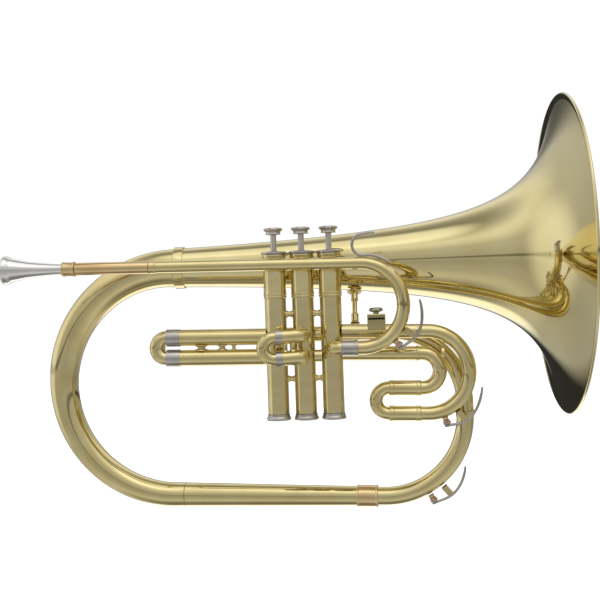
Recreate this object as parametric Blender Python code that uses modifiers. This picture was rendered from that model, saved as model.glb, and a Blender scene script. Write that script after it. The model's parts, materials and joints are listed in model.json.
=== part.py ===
"""A three-valve marching mellophone with its horn mouthpiece, in metres.

Frame: the origin is on the middle valve's axis at half the height of the valve casings. +X runs along
the bell axis and out of the bell, +Z is up along the valves, and -Y is the player's right-hand side.
"""

import math

import bmesh
import bpy
from mathutils import Matrix, Vector

MM = 0.001

# Clearances
GAP = 0.3 * MM
SLIDE_GAP = 0.3 * MM
END_STUB = 1.0 * MM
BOW_STUB = 3.0 * MM

# Valves
VALVE_PITCH = 23.6 * MM
CASING_RADIUS = 9.1 * MM
BARREL_RADIUS = 9.6 * MM
CASING_WALL = 0.9 * MM
CASING_TOP = 66.3 * MM
CASING_BOTTOM = -66.6 * MM
CASING_RING_HEIGHT = 34.2 * MM
CAP_SEAT_RADIUS = 10.3 * MM
CAP_SEAT_HEIGHT = 3.0 * MM
TOP_CAP_RADIUS = 11.0 * MM
TOP_CAP_HEIGHT = 2.6 * MM
BOTTOM_CAP_RADIUS = 10.5 * MM
BOTTOM_CAP_HEIGHT = 5.3 * MM
PISTON_LENGTH = 93.6 * MM
PISTON_TOP_GAP = 6.0 * MM
STEM_RADIUS = 2.6 * MM
VALVE_TRAVEL = 13.2 * MM
FELT_ROOM = 1.2 * MM
BUTTON_RADIUS = 8.3 * MM
BUTTON_HEIGHT = 5.7 * MM
SPRING_RADIUS = 6.1 * MM
SPRING_WIRE_RADIUS = 0.5 * MM
SPRING_TURNS = 5
SPRING_STEPS = 6
SPACER_RADIUS = 2.3 * MM
SPACER_HEIGHTS = (18.3 * MM, -37.0 * MM)
PORT_RADIUS = 5.3 * MM
PORT_BORE = 4.5 * MM
CROSS_PORT_HEIGHT = -18.2 * MM

# Bell and main loop
BELL_DEPTH_Y = 38.8 * MM
BELL_AXIS_HEIGHT = 62.5 * MM
BELL_RIM_X = 228.0 * MM
BELL_RIM_RADIUS = 139.7 * MM
BELL_WALL = 0.7 * MM
FLARE_LENGTH = 21.1 * MM
FLARE_POWER = 0.755
FLARE_TAPER = 0.0028
RIM_BEAD = 2.6 * MM
BOW_WALL = 0.7 * MM
LEFT_BOW_X = -221.0 * MM
LEFT_BOW_MIDDLE_HEIGHT = -39.1 * MM
LEFT_BOW_MIDDLE_RADIUS = 12.7 * MM
LEFT_BOW_END_RADIUS = 10.6 * MM
LEFT_BOW_END_HEIGHT = -141.2 * MM
TAIL_FERRULE_LENGTH = 9.0 * MM
FERRULE_WALL = 0.9 * MM
BOTTOM_TUBE_END_X = 40.7 * MM
BOTTOM_TUBE_END_RADIUS = 8.4 * MM
BOTTOM_FERRULE_LENGTH = 18.3 * MM
RIGHT_BOW_RADIUS = 70.5 * MM
RIGHT_BOW_X = 136.1 * MM
RIGHT_BOW_BOTTOM = -145.0 * MM
RIGHT_BOW_TUBE_RADIUS = 8.2 * MM
OUTLET_RADIUS = 7.4 * MM
OUTLET_END_RADIUS = 6.4 * MM
OUTLET_BEND = 62.2 * MM
OUTLET_HEIGHT = -0.2 * MM
OUTLET_DEPTH_Y = 18.5 * MM
OUTLET_ELBOW_BEND = 9.0 * MM

# Lead pipe, tuning slide and mouthpiece, on one line that falls a little towards the bell
LEAD_TILT = 0.0142
LEAD_DEPTH_Y = -18.0 * MM
LEAD_HEIGHT = 59.9 * MM
MOUTHPIECE_RIM_X = -254.8 * MM
MOUTHPIECE_RIM_RADIUS = 12.4 * MM
MOUTHPIECE_LENGTH = 62.0 * MM
SHANK_RADIUS = 4.3 * MM
RECEIVER_START_X = -203.4 * MM
RECEIVER_LENGTH = 11.0 * MM
RECEIVER_RADIUS = 5.9 * MM
MOUTHPIPE_RADIUS = 5.3 * MM
TUNING_START_X = -128.8 * MM
TUNING_START_RADIUS = 5.1 * MM
TUNING_END_RADIUS = 5.9 * MM
TUBE_WALL = 0.6 * MM
TUNING_CENTRE_X = 49.0 * MM
TUNING_BEND = 35.4 * MM
TUNING_INSERTION = 40.0 * MM
TUNING_FERRULE_LENGTH = 13.6 * MM
TUNING_FERRULE_END_X = 45.8 * MM
INLET_ELBOW_BEND = 8.0 * MM
TUNING_TRAVEL = 10.5 * MM
HOOK_WIRE_RADIUS = 1.4 * MM
HOOK_CURL_RADIUS = 8.8 * MM

# First valve slide
FIRST_TILT = 0.0164
FIRST_UPPER = -0.9 * MM
FIRST_LOWER = -18.3 * MM
FIRST_LEG_RADIUS = 7.0 * MM
FIRST_LEG_END_X = -118.6 * MM
FIRST_FERRULE_LENGTH = 12.0 * MM
FIRST_INSERTION = 45.0 * MM
FIRST_BRACE_X = -87.3 * MM
FIRST_BRACE_SIZE = Vector((12.0 * MM, 9.0 * MM))
FIRST_CROOK_RADIUS = 6.3 * MM

# Second valve slide
SECOND_UPPER = 0.4 * MM
SECOND_LOWER = -17.7 * MM
SECOND_LEG_RADIUS = 6.2 * MM
SECOND_REACH_Y = -20.0 * MM
SECOND_ELBOW_BEND = 8.6 * MM
SECOND_LEG_LENGTH = 23.7 * MM
SECOND_FERRULE_LENGTH = 5.5 * MM
SECOND_TURN = math.radians(12)
SECOND_DROOP = math.radians(2)
SECOND_INSERTION = 9.0 * MM

# Third valve slide
THIRD_TILT = 0.0298
THIRD_RADIUS = 6.0 * MM
THIRD_UPPER = 3.2 * MM
THIRD_PORT = -15.7 * MM
THIRD_SLEEVE_UPPER = -45.0 * MM
THIRD_SLEEVE_LOWER = -66.7 * MM
THIRD_SLEEVE_START_X = 72.3 * MM
THIRD_SLEEVE_END_X = 99.5 * MM
THIRD_SLEEVE_RADIUS = 6.5 * MM
THIRD_BOW_START_X = 105.0 * MM
THIRD_INSERTION = 24.0 * MM

# Fittings
BRACE_ROD_RADIUS = 2.1 * MM
BRACE_TOP = Vector((44.0 * MM, 31.5 * MM))
BRACE_FOOT_X = 43.8 * MM
LYRE_X = 62.0 * MM
LYRE_SIZE = Vector((15.2 * MM, 15.0 * MM))
LYRE_TOP = 15.9 * MM
LYRE_BOTTOM = 3.0 * MM
LYRE_HOLE = 4.6 * MM
LYRE_SCREW_RADIUS = 6.0 * MM
CORK_RADIUS = 3.0 * MM
CORK_HEIGHT = 3.2 * MM
LEVER_RADIUS = 1.25 * MM
LEVER_CREST = 2.2 * MM
LEVER_REACH = 23.5 * MM
LEVER_DROPS = (20.3 * MM, 22.5 * MM, 15.5 * MM)
SPOUT_RADIUS = 2.4 * MM
SPOUT_HEIGHT = 1.8 * MM
KEY_PIVOT = 15.0 * MM
HINGE_RADIUS = 1.3 * MM
KEY_ANGLES = (math.radians(-47), math.radians(-69.4), math.radians(-60.4))
KEY_SADDLE_LENGTH = 5.4 * MM
KEY_SADDLE_WIDTH = 6.4 * MM

# Facets
BELL_SIDES = 32
BELL_RINGS = 13
BELL_RING_POWER = 2.2
FINE = 16
ROUND = 12
TUBE = 12

BRASS = (0.72, 0.58, 0.24)
RED_BRASS = (0.70, 0.50, 0.20)
NICKEL = (0.62, 0.59, 0.55)
STEEL = (0.45, 0.45, 0.46)
CORK = (0.42, 0.20, 0.12)


def clear_scene():
    for obj in list(bpy.data.objects):
        bpy.data.objects.remove(obj, do_unlink=True)


def new_collection(name):
    collection = bpy.data.collections.new(name)
    bpy.context.scene.collection.children.link(collection)
    return collection


clear_scene()
PARTS = new_collection("marching_mellophone")
CUTTERS = new_collection("cutters")
CUTTERS.hide_render = True


def material(name, colour, roughness, metallic):
    found = bpy.data.materials.get(name)
    if found:
        return found
    made = bpy.data.materials.new(name)
    made.use_nodes = True
    shader = made.node_tree.nodes["Principled BSDF"]
    shader.inputs["Base Color"].default_value = (*colour, 1.0)
    shader.inputs["Roughness"].default_value = roughness
    shader.inputs["Metallic"].default_value = metallic
    return made


def finish(obj, colour, roughness=0.2, metallic=1.0):
    """Puts a part in the object's collection with a material of its own."""
    obj.data.materials.clear()
    obj.data.materials.append(material(obj.name, colour, roughness, metallic))
    PARTS.objects.link(obj)
    obj.data.shade_smooth()
    obj.data.set_sharp_from_angle(angle=math.radians(35))
    return obj


def aim(obj, base, direction):
    """Stands an object's own +Z along a direction, with its own origin at a base point."""
    obj.location = base
    obj.rotation_mode = "QUATERNION"
    obj.rotation_quaternion = Vector(direction).to_track_quat("Z", "Y")
    return obj


def turned_mesh(name, profile, sides, closed):
    """A turned shape: profile points are (radius, height), down the outer side from the top."""
    mesh = bpy.data.meshes.new(name)
    verts = [(radius, 0.0, height) for radius, height in profile]
    edges = [(i, i + 1) for i in range(len(verts) - 1)]
    if closed:
        edges.append((len(verts) - 1, 0))
    mesh.from_pydata(verts, edges, [])
    obj = bpy.data.objects.new(name, mesh)
    screw = obj.modifiers.new("turn", "SCREW")
    screw.axis = "Z"
    screw.angle = math.tau
    screw.steps = sides
    screw.render_steps = sides
    screw.use_merge_vertices = True
    screw.merge_threshold = 0.00001
    return obj


def turned(name, profile, base, direction, colour, sides=ROUND, closed=False):
    return finish(aim(turned_mesh(name, profile, sides, closed), base, direction), colour)


def ring_profile(outer, bore, low, high):
    """A plain sleeve's section, as a closed loop."""
    return [(outer, high), (outer, low), (bore, low), (bore, high)]


def swept_mesh(name, path, radii, sides, caps):
    """The mesh of a round tube's outside along a path, made from a bevelled curve."""
    curve = bpy.data.curves.new(name, "CURVE")
    curve.dimensions = "3D"
    curve.bevel_depth = 1.0
    curve.bevel_resolution = (sides - 4) // 2
    curve.use_fill_caps = caps
    spline = curve.splines.new("POLY")
    spline.points.add(len(path) - 1)
    for point, place, radius in zip(spline.points, path, radii):
        point.co = (*place, 1.0)
        point.radius = radius
    guide = bpy.data.objects.new(name + "_curve", curve)
    CUTTERS.objects.link(guide)
    graph = bpy.context.evaluated_depsgraph_get()
    mesh = bpy.data.meshes.new_from_object(guide.evaluated_get(graph))
    bpy.data.objects.remove(guide, do_unlink=True)
    shape = bmesh.new()
    shape.from_mesh(mesh)
    bmesh.ops.remove_doubles(shape, verts=shape.verts, dist=0.000001)
    shape.to_mesh(mesh)
    shape.free()
    mesh.name = name
    return mesh


def as_list(radius, count):
    return list(radius) if hasattr(radius, "__len__") else [radius] * count


def pipe(name, path, radius, wall, colour, sides=TUBE):
    """A hollow tube along a path: its outside, thickened inwards by its wall."""
    mesh = swept_mesh(name, path, as_list(radius, len(path)), sides, caps=False)
    obj = bpy.data.objects.new(name, mesh)
    wall_thickness = obj.modifiers.new("wall", "SOLIDIFY")
    wall_thickness.thickness = wall
    wall_thickness.offset = -1.0
    wall_thickness.use_even_offset = True
    return finish(obj, colour)


def wire(name, path, radius, colour, sides=8):
    """A solid round bar along a path."""
    mesh = swept_mesh(name, path, as_list(radius, len(path)), sides, caps=True)
    return finish(bpy.data.objects.new(name, mesh), colour)


def route(corners, bends, step=math.radians(18)):
    """A path through corner points with each inner corner rounded to its bend radius."""
    points = [Vector(corners[0])]
    for before, corner, after, bend in zip(corners, corners[1:], corners[2:], bends):
        corner = Vector(corner)
        arriving = (corner - Vector(before)).normalized()
        leaving = (Vector(after) - corner).normalized()
        turn = arriving.angle(leaving)
        setback = bend * math.tan(turn / 2)
        inward = (leaving - arriving * math.cos(turn)).normalized()
        start = corner - arriving * setback
        centre = start + inward * bend
        count = max(2, round(turn / step))
        for i in range(count + 1):
            angle = turn * i / count
            points.append(centre - inward * bend * math.cos(angle) + arriving * bend * math.sin(angle))
    points.append(Vector(corners[-1]))
    return [p for i, p in enumerate(points) if i == 0 or (p - points[i - 1]).length > 0.00005]


def lengths(path):
    """The distance along a path at each of its points."""
    total = [0.0]
    for a, b in zip(path, path[1:]):
        total.append(total[-1] + (b - a).length)
    return total


def tapered(path, start, end):
    """Radii that change evenly along a path."""
    along = lengths(path)
    return [start + (end - start) * s / along[-1] for s in along]


def cut(obj, *cutters):
    for cutter in cutters:
        boolean = obj.modifiers.new("cut_" + cutter.name, "BOOLEAN")
        boolean.operation = "DIFFERENCE"
        boolean.object = cutter
    return obj


def join(obj, *others):
    for other in others:
        boolean = obj.modifiers.new("join_" + other.name, "BOOLEAN")
        boolean.operation = "UNION"
        boolean.object = other
    return obj


def helper(obj):
    """Keeps a cutting or joining shape out of the finished object."""
    CUTTERS.objects.link(obj)
    obj.hide_render = True
    obj.display_type = "WIRE"
    return obj


def cylinder_mesh(name, radius, length, sides):
    mesh = bpy.data.meshes.new(name)
    shape = bmesh.new()
    bmesh.ops.create_cone(
        shape, cap_ends=True, segments=sides, radius1=radius, radius2=radius, depth=length
    )
    shape.to_mesh(mesh)
    shape.free()
    return mesh


def rod_helper(name, start, end, radius, sides=TUBE):
    start, end = Vector(start), Vector(end)
    obj = bpy.data.objects.new(name, cylinder_mesh(name, radius, (end - start).length, sides))
    return helper(aim(obj, (start + end) / 2, end - start))


def box_object(name, size, centre):
    mesh = bpy.data.meshes.new(name)
    shape = bmesh.new()
    bmesh.ops.create_cube(shape, size=1.0)
    bmesh.ops.scale(shape, vec=size, verts=shape.verts)
    shape.to_mesh(mesh)
    shape.free()
    obj = bpy.data.objects.new(name, mesh)
    obj.location = centre
    return obj


def bevelled(obj, width, segments=1):
    bevel = obj.modifiers.new("edges", "BEVEL")
    bevel.width = width
    bevel.segments = segments
    bevel.limit_method = "ANGLE"
    return obj


def axis_empty(name, place, *children):
    """An empty on a moving body's joint axis, which carries that body's pieces."""
    empty = bpy.data.objects.new(name, None)
    empty.empty_display_size = 5 * MM
    empty.location = place
    PARTS.objects.link(empty)
    for child in children:
        child.parent = empty
        child.matrix_parent_inverse = Matrix.Translation(-Vector(place))
    return empty


def tilted_plane(tilt, depth):
    """Turns places on an upright plane that leans a little about Y into world points."""

    def place(x, z):
        across = x * math.cos(tilt) + z * math.sin(tilt)
        return Vector((across, depth, z * math.cos(tilt) - x * math.sin(tilt)))

    return place


lead = tilted_plane(LEAD_TILT, LEAD_DEPTH_Y)
first = tilted_plane(FIRST_TILT, 0.0)
third = tilted_plane(THIRD_TILT, 0.0)

LEAD_DIRECTION = lead(1, 0) - lead(0, 0)
FIRST_DIRECTION = first(1, 0) - first(0, 0)
THIRD_DIRECTION = third(1, 0) - third(0, 0)
VALVE_X = [-VALVE_PITCH, 0.0, VALVE_PITCH]
BORE_RADIUS = CASING_RADIUS - CASING_WALL
PISTON_RADIUS = BORE_RADIUS - SLIDE_GAP


def bell_radius(back):
    """The outer radius of the bell at a distance back from its rim plane."""
    flare = (FLARE_LENGTH / (back + FLARE_LENGTH)) ** FLARE_POWER
    return BELL_RIM_RADIUS * flare + FLARE_TAPER * back


BELL_TAIL_X = LEFT_BOW_X + (BELL_AXIS_HEIGHT - LEFT_BOW_MIDDLE_HEIGHT) + BOW_STUB
BELL_LENGTH = BELL_RIM_X - BELL_TAIL_X
TAIL_RADIUS = bell_radius(BELL_LENGTH)


def casing_clearance(index, tube_radius):
    """The space that a tube soldered to a valve casing leaves free round it."""
    x = VALVE_X[index]
    reach = tube_radius + 40 * MM
    name = f"casing_{index + 1}_clearance"
    found = bpy.data.objects.get(name)
    if found:
        return found
    return rod_helper(name, (x, 0, -reach), (x, 0, reach), CASING_RADIUS + GAP, FINE)


def build_bell():
    last = BELL_LENGTH - GAP
    stations = [last * (i / BELL_RINGS) ** BELL_RING_POWER for i in range(1, BELL_RINGS + 1)]
    outer, inner = [], []
    for back in stations:
        slope = (bell_radius(back + 0.0001) - bell_radius(back - 0.0001)) / 0.0002
        normal = Vector((1.0, -slope)).normalized()
        outer.append((bell_radius(back), -back))
        inner.append((bell_radius(back) - BELL_WALL * normal.x, -(back - BELL_WALL * normal.y)))
    rim = BELL_RIM_RADIUS
    bead = [
        (rim - RIM_BEAD, 0.0),
        (rim - 0.5 * MM, 0.0),
        (rim, -0.5 * MM),
        (rim, -RIM_BEAD + 0.5 * MM),
        (rim - 0.6 * MM, -RIM_BEAD),
        (rim - RIM_BEAD, -RIM_BEAD),
    ]
    rim_centre = (BELL_RIM_X, BELL_DEPTH_Y, BELL_AXIS_HEIGHT)
    turned("bell", bead + outer + inner[::-1], rim_centre, (1, 0, 0), BRASS, BELL_SIDES, True)


def build_main_loop():
    """The tube that runs on from the bell's tail, round the left bow and along the bottom."""
    y = BELL_DEPTH_Y
    left_bottom_bend = LEFT_BOW_MIDDLE_HEIGHT - LEFT_BOW_END_HEIGHT
    left_end_x = LEFT_BOW_X + left_bottom_bend + BOW_STUB
    upper_bend = BELL_AXIS_HEIGHT - LEFT_BOW_MIDDLE_HEIGHT
    start = Vector((left_end_x, y, LEFT_BOW_END_HEIGHT))
    right_corner = Vector((RIGHT_BOW_X, OUTLET_DEPTH_Y, RIGHT_BOW_BOTTOM))
    run = (right_corner - start).normalized()
    joint = start + run * ((BOTTOM_TUBE_END_X + BOTTOM_FERRULE_LENGTH / 2 - left_end_x) / run.x)
    left_path = route(
        [
            (BELL_TAIL_X, y, BELL_AXIS_HEIGHT),
            (LEFT_BOW_X, y, BELL_AXIS_HEIGHT),
            (LEFT_BOW_X, y, LEFT_BOW_END_HEIGHT),
            (left_end_x, y, LEFT_BOW_END_HEIGHT),
        ],
        [upper_bend, left_bottom_bend],
    )
    left_path.append(start + run * BOW_STUB)
    along = lengths(left_path)
    middle = upper_bend * math.pi / 2
    radii = [
        TAIL_RADIUS + (LEFT_BOW_MIDDLE_RADIUS - TAIL_RADIUS) * (s / middle) ** 0.8
        if s < middle
        else LEFT_BOW_MIDDLE_RADIUS
        + (LEFT_BOW_END_RADIUS - LEFT_BOW_MIDDLE_RADIUS) * (s - middle) / (along[-1] - middle)
        for s in along
    ]
    pipe("left_bow", left_path, radii, BOW_WALL, BRASS, ROUND)

    sleeve_bore = bell_radius(BELL_LENGTH - TAIL_FERRULE_LENGTH) + GAP
    turned(
        "bell_tail_ferrule",
        ring_profile(sleeve_bore + FERRULE_WALL, sleeve_bore, GAP, TAIL_FERRULE_LENGTH),
        (BELL_TAIL_X, y, BELL_AXIS_HEIGHT),
        (1, 0, 0),
        BRASS,
        BELL_SIDES,
        True,
    )

    bottom = [start + run * (BOW_STUB + GAP), joint - run * GAP / 2]
    narrowing = tapered(bottom, LEFT_BOW_END_RADIUS, BOTTOM_TUBE_END_RADIUS)
    pipe("bottom_tube", bottom, narrowing, BOW_WALL, BRASS, ROUND)
    ferrule_bore = BOTTOM_TUBE_END_RADIUS + 2 * GAP
    turned(
        "bottom_ferrule",
        ring_profile(
            ferrule_bore + FERRULE_WALL, ferrule_bore, -BOTTOM_FERRULE_LENGTH / 2, BOTTOM_FERRULE_LENGTH / 2
        ),
        joint,
        run,
        RED_BRASS,
        ROUND,
        True,
    )

    right_top_z = RIGHT_BOW_BOTTOM + RIGHT_BOW_RADIUS * math.tan(run.angle(Vector((0, 0, 1))) / 2)
    right_path = route(
        [
            joint + run * GAP / 2,
            right_corner,
            (RIGHT_BOW_X, OUTLET_DEPTH_Y, right_top_z + END_STUB),
        ],
        [RIGHT_BOW_RADIUS],
    )
    widening = tapered(right_path, RIGHT_BOW_TUBE_RADIUS, OUTLET_RADIUS)
    pipe("right_bow", right_path, widening, BOW_WALL, BRASS)

    outlet_path = route(
        [
            (RIGHT_BOW_X, OUTLET_DEPTH_Y, right_top_z + END_STUB + GAP),
            (RIGHT_BOW_X, OUTLET_DEPTH_Y, OUTLET_HEIGHT),
            (VALVE_X[0], OUTLET_DEPTH_Y, OUTLET_HEIGHT),
            (VALVE_X[0], CASING_RADIUS / 2, OUTLET_HEIGHT),
        ],
        [OUTLET_BEND, OUTLET_ELBOW_BEND],
    )
    outlet_radii = tapered(outlet_path, OUTLET_RADIUS, OUTLET_END_RADIUS)
    outlet = pipe("outlet_tube", outlet_path, outlet_radii, BOW_WALL, BRASS)
    cut(outlet, casing_clearance(0, OUTLET_RADIUS))


def casing_ports():
    """Each valve's ports: the valve's index, the height and the way out."""
    left, right, front, back = (-1, 0, 0), (1, 0, 0), (0, -1, 0), (0, 1, 0)
    first_z = [first(VALVE_X[0] - CASING_RADIUS, z).z for z in (FIRST_UPPER, FIRST_LOWER)]
    third_z = [third(VALVE_X[2] + CASING_RADIUS, z).z for z in (THIRD_UPPER, THIRD_PORT)]
    return [
        (0, first_z[0], left),
        (0, first_z[1], left),
        (0, OUTLET_HEIGHT, back),
        (0, CROSS_PORT_HEIGHT, right),
        (1, CROSS_PORT_HEIGHT, left),
        (1, SECOND_UPPER, front),
        (1, SECOND_LOWER, front),
        (1, CROSS_PORT_HEIGHT, right),
        (2, CROSS_PORT_HEIGHT, left),
        (2, third_z[0], right),
        (2, third_z[1], right),
        (2, inlet_height(), front),
    ]


def inlet_height():
    """The height at which the tuning slide's lower leg reaches the third valve."""
    return lead(VALVE_X[2], LEAD_HEIGHT - 2 * TUNING_BEND).z


def casing_profile():
    """The section of a valve casing, down its outside and up its bore."""
    ring = CASING_RING_HEIGHT
    seat_top = CASING_TOP + CAP_SEAT_HEIGHT
    bead = BARREL_RADIUS + 0.35 * MM
    return [
        (CAP_SEAT_RADIUS, seat_top),
        (CAP_SEAT_RADIUS, CASING_TOP + GAP),
        (BARREL_RADIUS, CASING_TOP - 0.5 * MM),
        (BARREL_RADIUS, ring + 1.6 * MM),
        (bead, ring + 0.8 * MM),
        (BARREL_RADIUS - 0.2 * MM, ring),
        (bead, ring - 0.8 * MM),
        (CASING_RADIUS, ring - 1.6 * MM),
        (CASING_RADIUS, CASING_BOTTOM),
        (BORE_RADIUS, CASING_BOTTOM),
        (BORE_RADIUS, seat_top),
    ]


def build_casings():
    ports = casing_ports()
    casings = []
    for index, x in enumerate(VALVE_X):
        casing = turned(
            f"valve_casing_{index + 1}", casing_profile(), (x, 0, 0), (0, 0, 1), BRASS, FINE, True
        )
        for number, (valve, height, way) in enumerate(ports):
            if valve != index:
                continue
            centre = Vector((x, 0, height))
            reach = Vector(way) * (CASING_RADIUS + MM)
            inside = Vector(way) * (CASING_RADIUS / 2)
            hole = rod_helper(f"port_hole_{number + 1}", centre + inside, centre + reach, PORT_BORE, 8)
            cut(casing, hole)
        casings.append(casing)

    bridge = VALVE_PITCH / 2
    for side in (0, 1):
        middle = VALVE_X[side] + bridge
        tube = pipe(
            f"port_tube_{side + 1}_{side + 2}",
            [Vector((middle + way * bridge / 1.6, 0, CROSS_PORT_HEIGHT)) for way in (-1, 1)],
            PORT_RADIUS,
            TUBE_WALL,
            BRASS,
        )
        cut(tube, casing_clearance(side, PORT_RADIUS), casing_clearance(side + 1, PORT_RADIUS))
        for level, height in zip(("upper", "lower"), SPACER_HEIGHTS):
            reach = VALVE_X[2 * side] + (1 - 2 * side) * (CASING_RADIUS + GAP)
            spacer = rod_helper(
                f"spacer_{side + 1}_{level}",
                (reach, 0, height),
                (VALVE_X[1] + (2 * side - 1) * (CASING_RADIUS - CASING_WALL / 2), 0, height),
                SPACER_RADIUS,
                10,
            )
            join(casings[1], spacer)
            cut(casings[1], casing_clearance(2 * side, PORT_RADIUS))
    return casings


def build_valves():
    piston_top = CASING_TOP - PISTON_TOP_GAP
    piston_bottom = piston_top - PISTON_LENGTH
    cap_base = CASING_TOP + CAP_SEAT_HEIGHT + GAP
    cap_top = cap_base + TOP_CAP_HEIGHT
    button_base = cap_top + FELT_ROOM + VALVE_TRAVEL
    button_top = button_base + BUTTON_HEIGHT
    stem_bore = STEM_RADIUS + 2 * GAP
    plug_radius = BORE_RADIUS - GAP
    cap_floor = CASING_BOTTOM - GAP - BOTTOM_CAP_HEIGHT
    for index, x in enumerate(VALVE_X):
        number = index + 1
        base, up = (x, 0, 0), (0, 0, 1)
        piston = turned(
            f"piston_{number}",
            [
                (0.0, button_base + 1.6 * MM),
                (STEM_RADIUS, button_base + 1.6 * MM),
                (STEM_RADIUS, piston_top),
                (PISTON_RADIUS, piston_top),
                (PISTON_RADIUS, piston_bottom),
                (PISTON_RADIUS - 1.0 * MM, piston_bottom),
                (PISTON_RADIUS - 1.0 * MM, piston_bottom + 12 * MM),
                (0.0, piston_bottom + 12 * MM),
            ],
            base,
            up,
            STEEL,
            FINE,
        )
        passage_height = CROSS_PORT_HEIGHT
        passage = rod_helper(
            f"passage_{number}",
            (x - 2 * CASING_RADIUS, 0, passage_height),
            (x + 2 * CASING_RADIUS, 0, passage_height),
            PORT_BORE,
            8,
        )
        cross = rod_helper(
            f"cross_passage_{number}",
            (x, -2 * CASING_RADIUS, OUTLET_HEIGHT + 2 * MM),
            (x, 2 * CASING_RADIUS, OUTLET_HEIGHT + 2 * MM),
            PORT_BORE,
            8,
        )
        cut(piston, passage, cross)
        button = turned(
            f"finger_button_{number}",
            [
                (0.0, button_top - 0.9 * MM),
                (BUTTON_RADIUS - 2.2 * MM, button_top - 0.5 * MM),
                (BUTTON_RADIUS - 0.9 * MM, button_top),
                (BUTTON_RADIUS, button_top - 1.4 * MM),
                (BUTTON_RADIUS - 0.6 * MM, button_top - 2.8 * MM),
                (BUTTON_RADIUS - 2.0 * MM, button_top - 3.3 * MM),
                (BUTTON_RADIUS - 1.8 * MM, button_base),
                (STEM_RADIUS + GAP, button_base),
                (STEM_RADIUS + GAP, button_base + 1.6 * MM + GAP),
                (0.0, button_base + 1.6 * MM + GAP),
            ],
            base,
            up,
            NICKEL,
        )
        turned(
            f"top_cap_{number}",
            [
                (stem_bore, cap_top),
                (TOP_CAP_RADIUS - 1.0 * MM, cap_top),
                (TOP_CAP_RADIUS, cap_top - 0.9 * MM),
                (TOP_CAP_RADIUS, cap_base),
                (plug_radius, cap_base),
                (plug_radius, CASING_TOP - 1.2 * MM),
                (plug_radius - 1.2 * MM, CASING_TOP - 1.2 * MM),
                (plug_radius - 1.2 * MM, cap_base),
                (stem_bore, cap_base),
            ],
            base,
            up,
            NICKEL,
            FINE,
            True,
        )
        turned(
            f"bottom_cap_{number}",
            [
                (plug_radius, CASING_BOTTOM + 3.0 * MM),
                (plug_radius, CASING_BOTTOM - GAP),
                (CASING_RADIUS + 0.4 * MM, CASING_BOTTOM - GAP),
                (CASING_RADIUS + 0.5 * MM, CASING_BOTTOM - GAP - 2.2 * MM),
                (BOTTOM_CAP_RADIUS, cap_floor + 1.3 * MM),
                (BOTTOM_CAP_RADIUS - 0.5 * MM, cap_floor),
                (1.6 * MM, cap_floor),
                (1.6 * MM, cap_floor + 1.4 * MM),
                (plug_radius - 1.0 * MM, cap_floor + 1.4 * MM),
                (plug_radius - 1.0 * MM, CASING_BOTTOM + 3.0 * MM),
            ],
            base,
            up,
            NICKEL,
            FINE,
            True,
        )
        coil_low = cap_floor + 1.4 * MM + GAP + SPRING_WIRE_RADIUS
        coil_high = piston_bottom - GAP - SPRING_WIRE_RADIUS
        steps = SPRING_TURNS * SPRING_STEPS
        coil = [
            Vector(
                (
                    x + SPRING_RADIUS * math.cos(math.tau * i / SPRING_STEPS),
                    SPRING_RADIUS * math.sin(math.tau * i / SPRING_STEPS),
                    coil_low + (coil_high - coil_low) * i / steps,
                )
            )
            for i in range(steps + 1)
        ]
        wire(f"valve_spring_{number}", coil, SPRING_WIRE_RADIUS, STEEL, 6)
        axis_empty(f"valve_{number}_axis", Vector(base), piston, button)


def build_mouthpiece():
    length = MOUTHPIECE_LENGTH
    rim = MOUTHPIECE_RIM_RADIUS
    outside = [
        (rim - 2.0 * MM, length),
        (rim - 0.5 * MM, length - 0.7 * MM),
        (rim, length - 2.4 * MM),
        (rim - 0.3 * MM, length - 5.0 * MM),
        (rim - 3.0 * MM, length - 9.0 * MM),
        (8.4 * MM, length - 15.0 * MM),
        (6.6 * MM, length - 25.0 * MM),
        (5.2 * MM, length - 40.0 * MM),
        (SHANK_RADIUS + 0.3 * MM, length - 50.0 * MM),
        (SHANK_RADIUS, 0.0),
    ]
    inside = [
        (3.2 * MM, 0.0),
        (2.3 * MM, length - 30.0 * MM),
        (4.6 * MM, length - 16.0 * MM),
        (rim - 4.2 * MM, length - 3.0 * MM),
        (rim - 3.4 * MM, length - 0.6 * MM),
    ]
    base = lead(MOUTHPIECE_RIM_X + length, LEAD_HEIGHT)
    piece = turned("mouthpiece", outside + inside, base, -LEAD_DIRECTION, NICKEL, 20, True)
    axis_empty("mouthpiece_axis", base, piece)


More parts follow.
